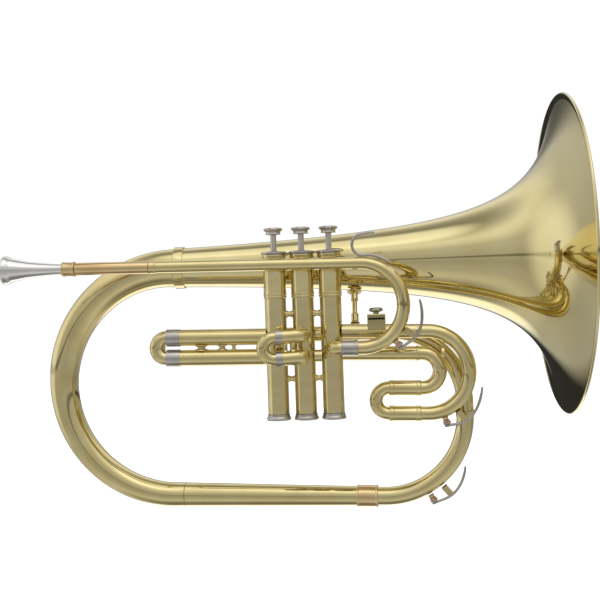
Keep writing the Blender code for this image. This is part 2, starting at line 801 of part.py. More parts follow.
def build_lead():
    """The receiver, the mouthpipe, the tuning slide and the elbow that leads it into the third valve."""
    shank_bore = SHANK_RADIUS + 0.3 * MM + GAP
    receiver_end = RECEIVER_LENGTH
    receiver_base = lead(RECEIVER_START_X, LEAD_HEIGHT)
    turned(
        "mouthpiece_receiver",
        [
            (RECEIVER_RADIUS + 0.5 * MM, receiver_end),
            (RECEIVER_RADIUS + 0.5 * MM, receiver_end - 1.0 * MM),
            (RECEIVER_RADIUS, receiver_end - 1.4 * MM),
            (RECEIVER_RADIUS, 1.0 * MM),
            (RECEIVER_RADIUS - 0.5 * MM, 0.0),
            (shank_bore, 0.0),
            (shank_bore, receiver_end),
        ],
        receiver_base,
        LEAD_DIRECTION,
        RED_BRASS,
        ROUND,
        True,
    )
    mouthpipe_start = RECEIVER_START_X + RECEIVER_LENGTH + GAP
    tongue_radius = TUNING_START_RADIUS - TUBE_WALL - SLIDE_GAP
    tongue_end = TUNING_START_X + TUNING_INSERTION
    pipe_length = TUNING_START_X - GAP - mouthpipe_start
    turned(
        "mouthpipe",
        [
            (tongue_radius, tongue_end - mouthpipe_start),
            (tongue_radius, pipe_length),
            (MOUTHPIPE_RADIUS, pipe_length),
            (MOUTHPIPE_RADIUS, 0.0),
            (tongue_radius - TUBE_WALL, 0.0),
            (tongue_radius - TUBE_WALL, tongue_end - mouthpipe_start),
        ],
        lead(mouthpipe_start, LEAD_HEIGHT),
        LEAD_DIRECTION,
        RED_BRASS,
        ROUND,
        True,
    )

    lower = LEAD_HEIGHT - 2 * TUNING_BEND
    ferrule_start_x = TUNING_FERRULE_END_X - TUNING_FERRULE_LENGTH
    tuning_path = route(
        [
            lead(TUNING_START_X, LEAD_HEIGHT),
            lead(TUNING_CENTRE_X + TUNING_BEND, LEAD_HEIGHT),
            lead(TUNING_CENTRE_X + TUNING_BEND, lower),
            lead(TUNING_FERRULE_END_X + GAP, lower),
        ],
        [TUNING_BEND, TUNING_BEND],
    )
    along = lengths(tuning_path)
    straight = along[1]
    radii = [
        TUNING_START_RADIUS
        if s <= straight
        else TUNING_START_RADIUS
        + (TUNING_END_RADIUS - TUNING_START_RADIUS) * min(1.0, (s - straight) / (along[-1] - straight))
        for s in along
    ]
    slide_bore = TUNING_END_RADIUS - SLIDE_GAP
    inner_radius = slide_bore - TUBE_WALL
    inner = turned_mesh(
        "tuning_inner_leg",
        ring_profile(inner_radius, inner_radius - TUBE_WALL, -TUNING_TRAVEL - 3 * MM, 2 * MM),
        TUBE,
        True,
    )
    step_radii = (TUNING_END_RADIUS - TUBE_WALL / 2, inner_radius - TUBE_WALL / 2)
    shoulder = turned_mesh("tuning_shoulder", ring_profile(*step_radii, 0.4 * MM, 2 * MM), TUBE, True)
    leg_end = lead(TUNING_FERRULE_END_X + GAP, lower)
    for extra in (inner, shoulder):
        helper(aim(extra, leg_end, LEAD_DIRECTION))
    slide = pipe("tuning_slide_tube", tuning_path, radii, TUBE_WALL, BRASS)
    join(slide, shoulder, inner)

    elbow_path = route(
        [
            lead(TUNING_FERRULE_END_X, lower),
            Vector((VALVE_X[2], LEAD_DEPTH_Y, inlet_height())),
            Vector((VALVE_X[2], -CASING_RADIUS / 2, inlet_height())),
        ],
        [INLET_ELBOW_BEND],
    )
    elbow = pipe("inlet_elbow", elbow_path, TUNING_END_RADIUS, TUBE_WALL, BRASS)
    cut(elbow, casing_clearance(2, TUNING_END_RADIUS))
    ferrule_bore = TUNING_END_RADIUS + GAP
    turned(
        "tuning_ferrule",
        ring_profile(ferrule_bore + 0.6 * MM, ferrule_bore, 0.0, TUNING_FERRULE_LENGTH),
        lead(ferrule_start_x, lower),
        LEAD_DIRECTION,
        NICKEL,
        ROUND,
        True,
    )

    hook = build_finger_hook()
    axis_empty("tuning_slide_axis", leg_end, slide, hook)


def tuning_point(angle, distance):
    """A point near the tuning crook, by angle up from its axis and distance out from its bend's centre."""
    return lead(
        TUNING_CENTRE_X + distance * math.cos(angle), LEAD_HEIGHT - TUNING_BEND + distance * math.sin(angle)
    )


def build_finger_hook():
    """A wire hook for the little finger: it lies along the crook's back and curls up over the lead pipe."""
    resting = TUNING_BEND + TUNING_END_RADIUS + GAP + HOOK_WIRE_RADIUS
    foot = [tuning_point(math.radians(a), resting) for a in (53, 61, 69, 78)]
    curl_radius = HOOK_CURL_RADIUS
    curl_centre = foot[-1] + Vector((-0.75 * curl_radius, 0, curl_radius))
    curl = [
        curl_centre + Vector((curl_radius * math.cos(math.radians(a)), 0, curl_radius * math.sin(math.radians(a))))
        for a in (-95, -120, -145, -170, -195, -220, -245)
    ]
    tip = [curl[-1] + Vector((6.5 * MM, 0, 1.4 * MM)), curl[-1] + Vector((14.0 * MM, 0, 1.8 * MM))]
    return wire("finger_hook", foot + curl + tip, HOOK_WIRE_RADIUS, NICKEL)


def build_mouthpipe_brace():
    """A turned post between the mouthpipe and the bell's tail."""
    x = TUNING_START_X - 12 * MM
    height = lead(x, LEAD_HEIGHT).z
    tail_path_radius = TAIL_RADIUS + GAP
    start_y = LEAD_DEPTH_Y + MOUTHPIPE_RADIUS + GAP
    drop = BELL_AXIS_HEIGHT - height
    end_y = BELL_DEPTH_Y - math.sqrt(tail_path_radius**2 - drop**2)
    length = end_y - start_y
    turned(
        "mouthpipe_brace",
        [
            (0.0, length),
            (4.0 * MM, length),
            (4.0 * MM, length - 1.4 * MM),
            (1.7 * MM, length - 3.0 * MM),
            (1.7 * MM, 3.0 * MM),
            (3.4 * MM, 1.2 * MM),
            (3.4 * MM, 0.0),
            (0.0, 0.0),
        ],
        (x, start_y, height),
        (0, 1, 0),
        BRASS,
        TUBE,
    )


def leg_radii(path, radius):
    """A leg's outside with a thicker ferrule along the path's last stretch."""
    return [radius] * (len(path) - 2) + [radius + FERRULE_WALL * 0.5] * 2


def build_first_slide():
    """Two outer legs on the first valve and the crook that slides in them."""
    cutter = casing_clearance(0, FIRST_LEG_RADIUS)
    for label, height in (("upper", FIRST_UPPER), ("lower", FIRST_LOWER)):
        ferrule = first(FIRST_LEG_END_X + FIRST_FERRULE_LENGTH, height)
        leg_path = [
            first(VALVE_X[0] - CASING_RADIUS / 2, height),
            ferrule + FIRST_DIRECTION * 0.2 * MM,
            ferrule,
            first(FIRST_LEG_END_X, height),
        ]
        radii = leg_radii(leg_path, FIRST_LEG_RADIUS)
        leg = pipe(f"first_slide_leg_{label}", leg_path, radii, TUBE_WALL, BRASS)
        cut(leg, cutter)
    bend = (FIRST_UPPER - FIRST_LOWER) / 2
    inner_radius = FIRST_LEG_RADIUS - TUBE_WALL - SLIDE_GAP
    crook_path = route(
        [
            first(FIRST_LEG_END_X + FIRST_INSERTION, FIRST_UPPER),
            first(FIRST_LEG_END_X - bend, FIRST_UPPER),
            first(FIRST_LEG_END_X - bend, FIRST_LOWER),
            first(FIRST_LEG_END_X + FIRST_INSERTION, FIRST_LOWER),
        ],
        [bend, bend],
        math.radians(18),
    )
    crook = pipe("first_slide_crook", crook_path, min(inner_radius, FIRST_CROOK_RADIUS), TUBE_WALL, BRASS)
    axis_empty("first_slide_axis", first(FIRST_LEG_END_X, FIRST_UPPER), crook)
    opening = FIRST_UPPER - FIRST_LOWER - 2 * FIRST_LEG_RADIUS - 2 * GAP
    plate_size = (FIRST_BRACE_SIZE.x, FIRST_BRACE_SIZE.y, opening)
    plate = box_object("first_slide_brace", plate_size, first(FIRST_BRACE_X, (FIRST_UPPER + FIRST_LOWER) / 2))
    plate.rotation_euler = (0, FIRST_TILT, 0)
    finish(bevelled(plate, 0.6 * MM), BRASS)


def second_direction():
    level = math.cos(SECOND_DROOP)
    return Vector((-math.cos(SECOND_TURN) * level, -math.sin(SECOND_TURN) * level, -math.sin(SECOND_DROOP)))


def build_second_slide():
    """Two elbows out of the middle valve's front and the short crook that slides in them."""
    way = second_direction()
    cutter = casing_clearance(1, SECOND_LEG_RADIUS)
    corner_y = SECOND_REACH_Y
    ends = []
    for label, height in (("upper", SECOND_UPPER), ("lower", SECOND_LOWER)):
        corner = Vector((VALVE_X[1], corner_y, height))
        end = corner + way * SECOND_LEG_LENGTH
        ferrule = end - way * SECOND_FERRULE_LENGTH
        path = route(
            [Vector((VALVE_X[1], -CASING_RADIUS / 2, height)), corner, ferrule - way * 0.2 * MM], [SECOND_ELBOW_BEND]
        )
        path += [ferrule, end]
        leg = pipe(f"second_slide_leg_{label}", path, leg_radii(path, SECOND_LEG_RADIUS), TUBE_WALL, BRASS)
        cut(leg, cutter)
        ends.append(end)
    across = ends[1] - ends[0]
    down = (across - way * across.dot(way)).normalized()
    bend = across.dot(down) / 2
    step_back = way * across.dot(way)
    reach = 1.5 * MM
    inner_radius = SECOND_LEG_RADIUS - TUBE_WALL - SLIDE_GAP
    crook_path = route(
        [
            ends[0] - way * SECOND_INSERTION,
            ends[0] + way * (reach + bend),
            ends[0] + way * (reach + bend) + down * 2 * bend,
            ends[1] - step_back - way * SECOND_INSERTION,
        ],
        [bend, bend],
        math.radians(18),
    )
    crook = pipe("second_slide_crook", crook_path, inner_radius, TUBE_WALL, BRASS)
    axis_empty("second_slide_axis", ends[0], crook)


def build_third_slide():
    """The S-shaped loop on the third valve: a fixed return bend, a pull-out crook and the big bow."""
    cutter = casing_clearance(2, THIRD_RADIUS)
    return_bend = (THIRD_PORT - THIRD_SLEEVE_UPPER) / 2
    right = THIRD_SLEEVE_END_X + END_STUB + return_bend
    sleeve_step = [
        third(THIRD_SLEEVE_END_X, THIRD_SLEEVE_UPPER),
        third(THIRD_SLEEVE_END_X - 0.2 * MM, THIRD_SLEEVE_UPPER),
        third(THIRD_SLEEVE_START_X, THIRD_SLEEVE_UPPER),
    ]
    return_path = route(
        [
            third(VALVE_X[2] + CASING_RADIUS / 2, THIRD_PORT),
            third(right, THIRD_PORT),
            third(right, THIRD_SLEEVE_UPPER),
            sleeve_step[0],
        ],
        [return_bend, return_bend],
    )
    return_path += sleeve_step[1:]
    radii = [THIRD_RADIUS] * (len(return_path) - 2) + [THIRD_SLEEVE_RADIUS] * 2
    cut(pipe("third_slide_return_bend", return_path, radii, TUBE_WALL, BRASS), cutter)

    big_bend = (THIRD_UPPER - THIRD_SLEEVE_LOWER) / 2
    far = THIRD_BOW_START_X + big_bend
    bow_path = [
        third(THIRD_SLEEVE_START_X, THIRD_SLEEVE_LOWER),
        third(THIRD_SLEEVE_END_X - 0.2 * MM, THIRD_SLEEVE_LOWER),
    ]
    bow_path += route(
        [
            third(THIRD_SLEEVE_END_X, THIRD_SLEEVE_LOWER),
            third(far, THIRD_SLEEVE_LOWER),
            third(far, THIRD_UPPER),
            third(VALVE_X[2] + CASING_RADIUS / 2, THIRD_UPPER),
        ],
        [big_bend, big_bend],
    )
    radii = [THIRD_SLEEVE_RADIUS] * 2 + [THIRD_RADIUS] * (len(bow_path) - 2)
    cut(pipe("third_slide_bow", bow_path, radii, TUBE_WALL, BRASS), cutter)

    crook_bend = (THIRD_SLEEVE_UPPER - THIRD_SLEEVE_LOWER) / 2
    left = THIRD_SLEEVE_START_X - GAP - crook_bend
    inner_radius = THIRD_SLEEVE_RADIUS - TUBE_WALL - SLIDE_GAP
    crook_path = route(
        [
            third(THIRD_SLEEVE_START_X + THIRD_INSERTION, THIRD_SLEEVE_UPPER),
            third(left, THIRD_SLEEVE_UPPER),
            third(left, THIRD_SLEEVE_LOWER),
            third(THIRD_SLEEVE_START_X + THIRD_INSERTION, THIRD_SLEEVE_LOWER),
        ],
        [crook_bend, crook_bend],
        math.radians(18),
    )
    crook = pipe("third_slide_crook", crook_path, inner_radius, TUBE_WALL, BRASS)
    axis_empty("third_slide_axis", third(THIRD_SLEEVE_START_X, THIRD_SLEEVE_UPPER), crook)


def build_bell_brace():
    """A turned post that holds the bell off the outlet tube."""
    back = BELL_RIM_X - BRACE_TOP.x
    reach = bell_radius(back)
    side = BELL_DEPTH_Y - BRACE_TOP.y
    top = Vector((BRACE_TOP.x, BRACE_TOP.y, BELL_AXIS_HEIGHT - math.sqrt(reach**2 - side**2)))
    foot = Vector((BRACE_FOOT_X, OUTLET_DEPTH_Y, OUTLET_HEIGHT + OUTLET_RADIUS))
    way = (top - foot).normalized()
    foot += way * 3 * GAP
    length = (top - foot).length - 9 * GAP
    rod = BRACE_ROD_RADIUS
    flange = 6.4 * MM
    turned(
        "bell_brace",
        [
            (0.0, length),
            (flange, length),
            (flange, length - 0.8 * MM),
            (rod + 0.8 * MM, length - 2.4 * MM),
            (rod + 0.8 * MM, length - 9.0 * MM),
            (rod, length - 10.0 * MM),
            (rod, 9.0 * MM),
            (rod + 1.0 * MM, 7.8 * MM),
            (rod + 1.0 * MM, 0.0),
            (0.0, 0.0),
        ],
        foot,
        way,
        BRASS,
        TUBE,
    )


def build_lyre_holder():
    """A clamp block astride the third slide's upper leg, bored for a music lyre, and its screw."""
    height = LYRE_TOP - LYRE_BOTTOM
    centre = Vector((LYRE_X, 0, (LYRE_TOP + LYRE_BOTTOM) / 2))
    block = box_object("lyre_holder", (LYRE_SIZE.x, LYRE_SIZE.y, height), centre)
    finish(bevelled(block, 0.5 * MM), BRASS)
    leg_top = third(LYRE_X, THIRD_UPPER).z + THIRD_RADIUS + GAP
    hole_height = (leg_top + LYRE_TOP - 0.8 * MM) / 2
    saddle = rod_helper(
        "lyre_saddle",
        third(LYRE_X - LYRE_SIZE.x, THIRD_UPPER),
        third(LYRE_X + LYRE_SIZE.x, THIRD_UPPER),
        THIRD_RADIUS + GAP,
    )
    hole = helper(
        box_object("lyre_hole", (2 * LYRE_SIZE.x, LYRE_HOLE, LYRE_HOLE), Vector((LYRE_X, 0, hole_height)))
    )
    screw_hole = rod_helper(
        "lyre_screw_hole", (LYRE_X, 0, hole_height), (LYRE_X, 0, LYRE_TOP + 2 * MM), 1.5 * MM + GAP, 10
    )
    cut(block, saddle, hole, screw_hole)
    neck = 1.6 * MM
    head = LYRE_TOP + neck
    screw = turned(
        "lyre_screw",
        [
            (0.0, head + 4.0 * MM),
            (LYRE_SCREW_RADIUS - 1.4 * MM, head + 3.8 * MM),
            (LYRE_SCREW_RADIUS, head + 2.4 * MM),
            (LYRE_SCREW_RADIUS, head + 1.4 * MM),
            (LYRE_SCREW_RADIUS - 2.0 * MM, head),
            (2.4 * MM, LYRE_TOP + GAP),
            (1.5 * MM, LYRE_TOP + GAP),
            (1.5 * MM, hole_height + LYRE_HOLE / 2),
            (0.0, hole_height + LYRE_HOLE / 2),
        ],
        (LYRE_X, 0, 0),
        (0, 0, 1),
        NICKEL,
        TUBE,
    )
    axis_empty("lyre_screw_axis", Vector((LYRE_X, 0, LYRE_TOP)), screw)


def build_water_key(number, centre, reach, plane):
    """A spring-held water key on the outside of a bend. reach is the bend's outer radius about its
    centre, and the spout stands at an angle about that centre, with the thumb end anticlockwise of it."""
    angle, drop = KEY_ANGLES[number - 1], LEVER_DROPS[number - 1]
    centre = plane(*centre)
    outward = plane(math.cos(angle), math.sin(angle)) - plane(0, 0)
    along = plane(-math.sin(angle), math.cos(angle)) - plane(0, 0)
    side = outward.cross(along)
    surface = centre + outward * reach

    def place(a, o):
        return surface + along * a + outward * o

    turned(
        f"water_key_spout_{number}",
        ring_profile(SPOUT_RADIUS, SPOUT_RADIUS / 2, GAP, SPOUT_HEIGHT),
        surface,
        outward,
        BRASS,
        TUBE,
        True,
    )
    cork_base = SPOUT_HEIGHT + GAP
    cork = turned(
        f"water_key_cork_{number}",
        [(0.0, CORK_HEIGHT), (CORK_RADIUS, CORK_HEIGHT), (CORK_RADIUS, 0.0), (0.0, 0.0)],
        place(0, cork_base),
        outward,
        CORK,
        TUBE,
    )
    low = cork_base + CORK_HEIGHT + GAP + LEVER_RADIUS
    crest = low + LEVER_CREST
    shape = [
        (-CORK_RADIUS, low),
        (CORK_RADIUS, low + LEVER_CREST * 0.4),
        (KEY_PIVOT * 0.6, low + LEVER_CREST * 0.9),
        (KEY_PIVOT, crest),
        (KEY_PIVOT + LEVER_REACH * 0.25, crest - drop * 0.09),
        (KEY_PIVOT + LEVER_REACH * 0.5, crest - drop * 0.27),
        (KEY_PIVOT + LEVER_REACH * 0.73, crest - drop * 0.53),
        (KEY_PIVOT + LEVER_REACH * 0.9, crest - drop * 0.79),
        (KEY_PIVOT + LEVER_REACH, crest - drop),
    ]
    radii = [LEVER_RADIUS] * (len(shape) - 2) + [LEVER_RADIUS * 0.85, LEVER_RADIUS * 0.6]
    lever = wire(f"water_key_lever_{number}", [place(a, o) for a, o in shape], radii, NICKEL)
    pivot = place(KEY_PIVOT, crest - LEVER_RADIUS - HINGE_RADIUS / 2)
    half_barrel = side * (LEVER_RADIUS + GAP)
    join(lever, rod_helper(f"key_barrel_{number}", pivot - half_barrel, pivot + half_barrel, HINGE_RADIUS, 10))

    upright = (pivot - centre).normalized()
    turn = Matrix((side.cross(upright), side, upright)).transposed().to_quaternion()
    pivot_rise = (pivot - centre).length - reach
    height = pivot_rise + HINGE_RADIUS - GAP
    saddle = box_object(
        f"water_key_saddle_{number}",
        (KEY_SADDLE_LENGTH, KEY_SADDLE_WIDTH, height),
        centre + upright * (reach + GAP + height / 2),
    )
    slot_floor = pivot_rise - HINGE_RADIUS - 2 * GAP
    slot_height = height - slot_floor + KEY_SADDLE_LENGTH
    slot = helper(
        box_object(
            f"key_slot_{number}",
            (2 * KEY_SADDLE_LENGTH, 2 * (LEVER_RADIUS + 2 * GAP), slot_height),
            centre + upright * (reach + slot_floor + slot_height / 2),
        )
    )
    for block in (saddle, slot):
        block.rotation_mode = "QUATERNION"
        block.rotation_quaternion = turn
    finish(bevelled(saddle, 0.4 * MM), BRASS)
    cut(saddle, slot)
    axis_empty(f"water_key_{number}_axis", pivot, lever, cork)


def build_water_keys():
    crook_centre = (TUNING_CENTRE_X, LEAD_HEIGHT - TUNING_BEND)
    build_water_key(1, crook_centre, TUNING_BEND + TUNING_END_RADIUS, lead)
    big_bend = (THIRD_UPPER - THIRD_SLEEVE_LOWER) / 2
    big_centre = (THIRD_BOW_START_X, THIRD_UPPER - big_bend)
    build_water_key(2, big_centre, big_bend + THIRD_RADIUS, third)
    bow_centre = (RIGHT_BOW_X - RIGHT_BOW_RADIUS, RIGHT_BOW_BOTTOM + RIGHT_BOW_RADIUS)
    bow_plane = tilted_plane(0.0, OUTLET_DEPTH_Y)
    build_water_key(3, bow_centre, RIGHT_BOW_RADIUS + RIGHT_BOW_TUBE_RADIUS, bow_plane)


build_bell()
build_main_loop()
build_casings()
build_valves()
build_mouthpiece()
build_lead()
build_mouthpipe_brace()
build_first_slide()
build_second_slide()
build_third_slide()
build_bell_brace()
build_lyre_holder()
build_water_keys()
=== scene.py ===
"""The looks of the marching mellophone: fine surfaces, metals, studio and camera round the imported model."""

import json
import math

import bmesh
import bpy
from mathutils import Matrix, Vector

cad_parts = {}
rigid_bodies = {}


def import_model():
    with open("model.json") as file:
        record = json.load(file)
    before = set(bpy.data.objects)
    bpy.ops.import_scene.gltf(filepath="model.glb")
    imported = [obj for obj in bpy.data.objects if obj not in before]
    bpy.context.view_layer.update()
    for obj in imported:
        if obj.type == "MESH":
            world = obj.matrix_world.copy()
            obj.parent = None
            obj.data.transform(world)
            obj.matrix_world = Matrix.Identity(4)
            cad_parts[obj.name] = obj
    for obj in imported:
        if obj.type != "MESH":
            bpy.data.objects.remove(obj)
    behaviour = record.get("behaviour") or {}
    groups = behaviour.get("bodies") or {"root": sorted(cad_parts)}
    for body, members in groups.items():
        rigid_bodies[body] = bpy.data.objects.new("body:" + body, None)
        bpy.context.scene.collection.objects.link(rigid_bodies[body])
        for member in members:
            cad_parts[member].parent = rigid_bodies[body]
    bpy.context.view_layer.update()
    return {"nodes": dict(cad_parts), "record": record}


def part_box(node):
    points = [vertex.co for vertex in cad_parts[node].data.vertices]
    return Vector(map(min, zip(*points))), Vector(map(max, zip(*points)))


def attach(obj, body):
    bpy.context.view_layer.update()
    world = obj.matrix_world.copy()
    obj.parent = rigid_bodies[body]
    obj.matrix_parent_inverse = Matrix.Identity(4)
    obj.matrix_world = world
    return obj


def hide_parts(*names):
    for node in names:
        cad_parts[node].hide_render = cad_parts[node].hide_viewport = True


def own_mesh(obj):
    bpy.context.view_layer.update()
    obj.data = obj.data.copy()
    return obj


for leftover in list(bpy.data.objects):
    bpy.data.objects.remove(leftover, do_unlink=True)

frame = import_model()
NODES = frame["nodes"]
MM = 0.001
GAP = 0.3 * MM

# Sizes that repeat the model's driving dimensions
VALVE_PITCH = 23.6 * MM
CASING_RADIUS = 9.1 * MM
BARREL_RADIUS = 9.6 * MM
CASING_TOP = 66.3 * MM
CASING_BOTTOM = -66.6 * MM
CASING_RING_HEIGHT = 34.2 * MM
CAP_SEAT_RADIUS = 10.3 * MM
CAP_SEAT_HEIGHT = 3.0 * MM
TOP_CAP_RADIUS = 11.0 * MM
TOP_CAP_HEIGHT = 2.6 * MM
BOTTOM_CAP_RADIUS = 10.5 * MM
BOTTOM_CAP_HEIGHT = 5.3 * MM
PISTON_LENGTH = 93.6 * MM
STEM_RADIUS = 2.6 * MM
BUTTON_RADIUS = 8.3 * MM
SPRING_RADIUS = 6.1 * MM
PORT_RADIUS = 5.3 * MM
CROSS_PORT_HEIGHT = -18.2 * MM
SPACER_RADIUS = 2.3 * MM
SPACER_HEIGHTS = (18.3 * MM, -37.0 * MM)
BELL_AXIS = Vector((0.0, 38.8 * MM, 62.5 * MM))
BELL_RIM_X = 228.0 * MM
BELL_RIM_RADIUS = 139.7 * MM
BELL_WALL = 0.7 * MM
FLARE_LENGTH = 21.1 * MM
FLARE_POWER = 0.755
FLARE_TAPER = 0.0028
RIM_BEAD = 2.6 * MM
LEFT_BOW_X = -221.0 * MM
LEFT_BOW_MIDDLE_HEIGHT = -39.1 * MM
LEFT_BOW_MIDDLE_RADIUS = 12.7 * MM
LEFT_BOW_END_RADIUS = 10.6 * MM
LEFT_BOW_END_HEIGHT = -141.2 * MM
BOW_STUB = 3.0 * MM
BOTTOM_TUBE_END_X = 40.7 * MM
BOTTOM_TUBE_END_RADIUS = 8.4 * MM
BOTTOM_FERRULE_LENGTH = 18.3 * MM
RIGHT_BOW_RADIUS = 70.5 * MM
RIGHT_BOW_X = 136.1 * MM
RIGHT_BOW_BOTTOM = -145.0 * MM
RIGHT_BOW_TUBE_RADIUS = 8.2 * MM
OUTLET_RADIUS = 7.4 * MM
OUTLET_END_RADIUS = 6.4 * MM
OUTLET_BEND = 62.2 * MM
OUTLET_ELBOW_BEND = 9.0 * MM
OUTLET_HEIGHT = -0.2 * MM
OUTLET_DEPTH_Y = 18.5 * MM
LEAD_TILT = 0.0142
LEAD_DEPTH_Y = -18.0 * MM
LEAD_HEIGHT = 59.9 * MM
MOUTHPIECE_RIM_X = -254.8 * MM
MOUTHPIECE_RIM_RADIUS = 12.4 * MM
MOUTHPIECE_LENGTH = 62.0 * MM
SHANK_RADIUS = 4.3 * MM
RECEIVER_START_X = -203.4 * MM
RECEIVER_LENGTH = 11.0 * MM
RECEIVER_RADIUS = 5.9 * MM
MOUTHPIPE_RADIUS = 5.3 * MM
TUNING_START_X = -128.8 * MM
TUNING_START_RADIUS = 5.1 * MM
TUNING_END_RADIUS = 5.9 * MM
TUNING_CENTRE_X = 49.0 * MM
TUNING_BEND = 35.4 * MM
TUNING_FERRULE_LENGTH = 13.6 * MM
TUNING_FERRULE_END_X = 45.8 * MM
TUNING_TRAVEL = 10.5 * MM
INLET_ELBOW_BEND = 8.0 * MM
HOOK_WIRE_RADIUS = 1.4 * MM
HOOK_CURL_RADIUS = 8.8 * MM
FIRST_TILT = 0.0164
FIRST_LEVELS = (-0.9 * MM, -18.3 * MM)
FIRST_LEG_RADIUS = 7.0 * MM
FIRST_LEG_END_X = -118.6 * MM
FIRST_FERRULE_LENGTH = 12.0 * MM
FIRST_INSERTION = 45.0 * MM
SECOND_LEVELS = (0.4 * MM, -17.7 * MM)
SECOND_LEG_RADIUS = 6.2 * MM
SECOND_REACH_Y = -20.0 * MM
SECOND_ELBOW_BEND = 8.6 * MM
SECOND_LEG_LENGTH = 23.7 * MM
SECOND_FERRULE_LENGTH = 5.5 * MM
SECOND_TURN = math.radians(12)
SECOND_DROOP = math.radians(2)
SECOND_INSERTION = 9.0 * MM
THIRD_TILT = 0.0298
THIRD_RADIUS = 6.0 * MM
THIRD_UPPER = 3.2 * MM
THIRD_PORT = -15.7 * MM
THIRD_SLEEVES = (-45.0 * MM, -66.7 * MM)
THIRD_SLEEVE_START_X = 72.3 * MM
THIRD_SLEEVE_END_X = 99.5 * MM
THIRD_SLEEVE_RADIUS = 6.5 * MM
THIRD_BOW_START_X = 105.0 * MM
THIRD_INSERTION = 24.0 * MM
LYRE_TOP = 15.9 * MM
LYRE_SCREW_RADIUS = 6.0 * MM
TUBE_WALL = 0.6 * MM
BOW_WALL = 0.7 * MM
CASING_WALL = 0.9 * MM
JOINT_DEPTH = 0.5 * MM
FERRULE_SWELL = 0.45 * MM
VALVES = (-VALVE_PITCH, 0.0, VALVE_PITCH)


# ---------------------------------------------------------------- materials

def nodes_of(name):
    made = bpy.data.materials.new(name)
    made.use_nodes = True
    return made, made.node_tree.nodes, made.node_tree.links


def two_tones(nodes, dark, light, start=0.0, end=1.0):
    """A ramp from a dark tone to a light one."""
    ramp = nodes.new("ShaderNodeValToRGB")
    for stop, position, tone in zip(ramp.color_ramp.elements, (start, end), (dark, light)):
        stop.position = position
        stop.color = (*tone, 1)
    return ramp


def metal(name, light, dark, smooth, rough, coat=0.0, grain=0.012, stretch=(1, 1, 1), tarnish=0.35):
    """Polished metal with cloudy colour, uneven polish and very fine surface waves."""
    made, nodes, links = nodes_of(name)
    shader = nodes["Principled BSDF"]
    shader.inputs["Metallic"].default_value = 1.0
    shader.inputs["Coat Weight"].default_value = coat
    shader.inputs["Coat Roughness"].default_value = 0.04
    place = nodes.new("ShaderNodeTexCoord")
    stretched = nodes.new("ShaderNodeMapping")
    stretched.inputs["Scale"].default_value = stretch
    links.new(place.outputs["Object"], stretched.inputs["Vector"])

    def clouds(scale, detail):
        texture = nodes.new("ShaderNodeTexNoise")
        texture.inputs["Scale"].default_value = scale
        texture.inputs["Detail"].default_value = detail
        links.new(stretched.outputs["Vector"], texture.inputs["Vector"])
        return texture.outputs["Fac"]

    tone = two_tones(nodes, dark, light, tarnish, tarnish + 0.3)
    links.new(clouds(38, 5), tone.inputs["Fac"])
    links.new(tone.outputs["Color"], shader.inputs["Base Color"])
    polish = nodes.new("ShaderNodeMapRange")
    polish.inputs["From Min"].default_value = 0.3
    polish.inputs["From Max"].default_value = 0.7
    polish.inputs["To Min"].default_value = smooth
    polish.inputs["To Max"].default_value = rough
    links.new(clouds(220, 6), polish.inputs["Value"])
    links.new(polish.outputs["Result"], shader.inputs["Roughness"])
    waves = nodes.new("ShaderNodeBump")
    waves.inputs["Strength"].default_value = grain
    waves.inputs["Distance"].default_value = 0.001
    links.new(clouds(90, 3), waves.inputs["Height"])
    links.new(waves.outputs["Normal"], shader.inputs["Normal"])
    return made


def soft(name, light, dark, scale, roughness, bump):
    """Cork: mottled, matt and grainy."""
    made, nodes, links = nodes_of(name)
    shader = nodes["Principled BSDF"]
    shader.inputs["Roughness"].default_value = roughness
    shader.inputs["Sheen Weight"].default_value = 0.3
    place = nodes.new("ShaderNodeTexCoord")
    cells = nodes.new("ShaderNodeTexVoronoi")
    cells.inputs["Scale"].default_value = scale
    speckle = nodes.new("ShaderNodeTexNoise")
    speckle.inputs["Scale"].default_value = scale * 0.6
    speckle.inputs["Detail"].default_value = 6
    tone = two_tones(nodes, dark, light, 0.3, 0.65)
    grain = nodes.new("ShaderNodeBump")
    grain.inputs["Strength"].default_value = bump
    grain.inputs["Distance"].default_value = 0.0003
    for texture in (cells, speckle):
        links.new(place.outputs["Object"], texture.inputs["Vector"])
    links.new(speckle.outputs["Fac"], tone.inputs["Fac"])
    links.new(tone.outputs["Color"], shader.inputs["Base Color"])
    links.new(cells.outputs["Distance"], grain.inputs["Height"])
    links.new(grain.outputs["Normal"], shader.inputs["Normal"])
    return made


BRASS = metal("lacquered_brass", (0.76, 0.65, 0.33), (0.70, 0.58, 0.27), 0.04, 0.08, 0.25)
BELL_BRASS = metal("spun_bell_brass", (0.76, 0.66, 0.35), (0.71, 0.60, 0.29), 0.04, 0.075, 0.3, 0.012,
                   (1, 0.35, 0.35))
CASING_BRASS = metal("turned_casing_brass", (0.78, 0.67, 0.36), (0.72, 0.61, 0.30), 0.05, 0.09, 0.2,
                     0.015, (1, 1, 3))
RED_BRASS = metal("gold_brass", (0.80, 0.60, 0.32), (0.74, 0.53, 0.26), 0.06, 0.11, 0.25)
NICKEL = metal("nickel_silver", (0.58, 0.55, 0.51), (0.47, 0.44, 0.40), 0.12, 0.22, 0.0, 0.02)
SILVER = metal("silver_plate", (0.90, 0.89, 0.87), (0.80, 0.78, 0.75), 0.06, 0.13, 0.0, 0.015)
STEEL = metal("satin_steel", (0.60, 0.60, 0.61), (0.48, 0.48, 0.49), 0.25, 0.38, 0.0, 0.03, (1, 1, 6))
# Painted shade: a near-black metal for the box that stands for the shade in the lyre clamp's slit.
SHADOW = metal("shadowed_gap", (0.05, 0.04, 0.02), (0.02, 0.015, 0.01), 0.4, 0.6)
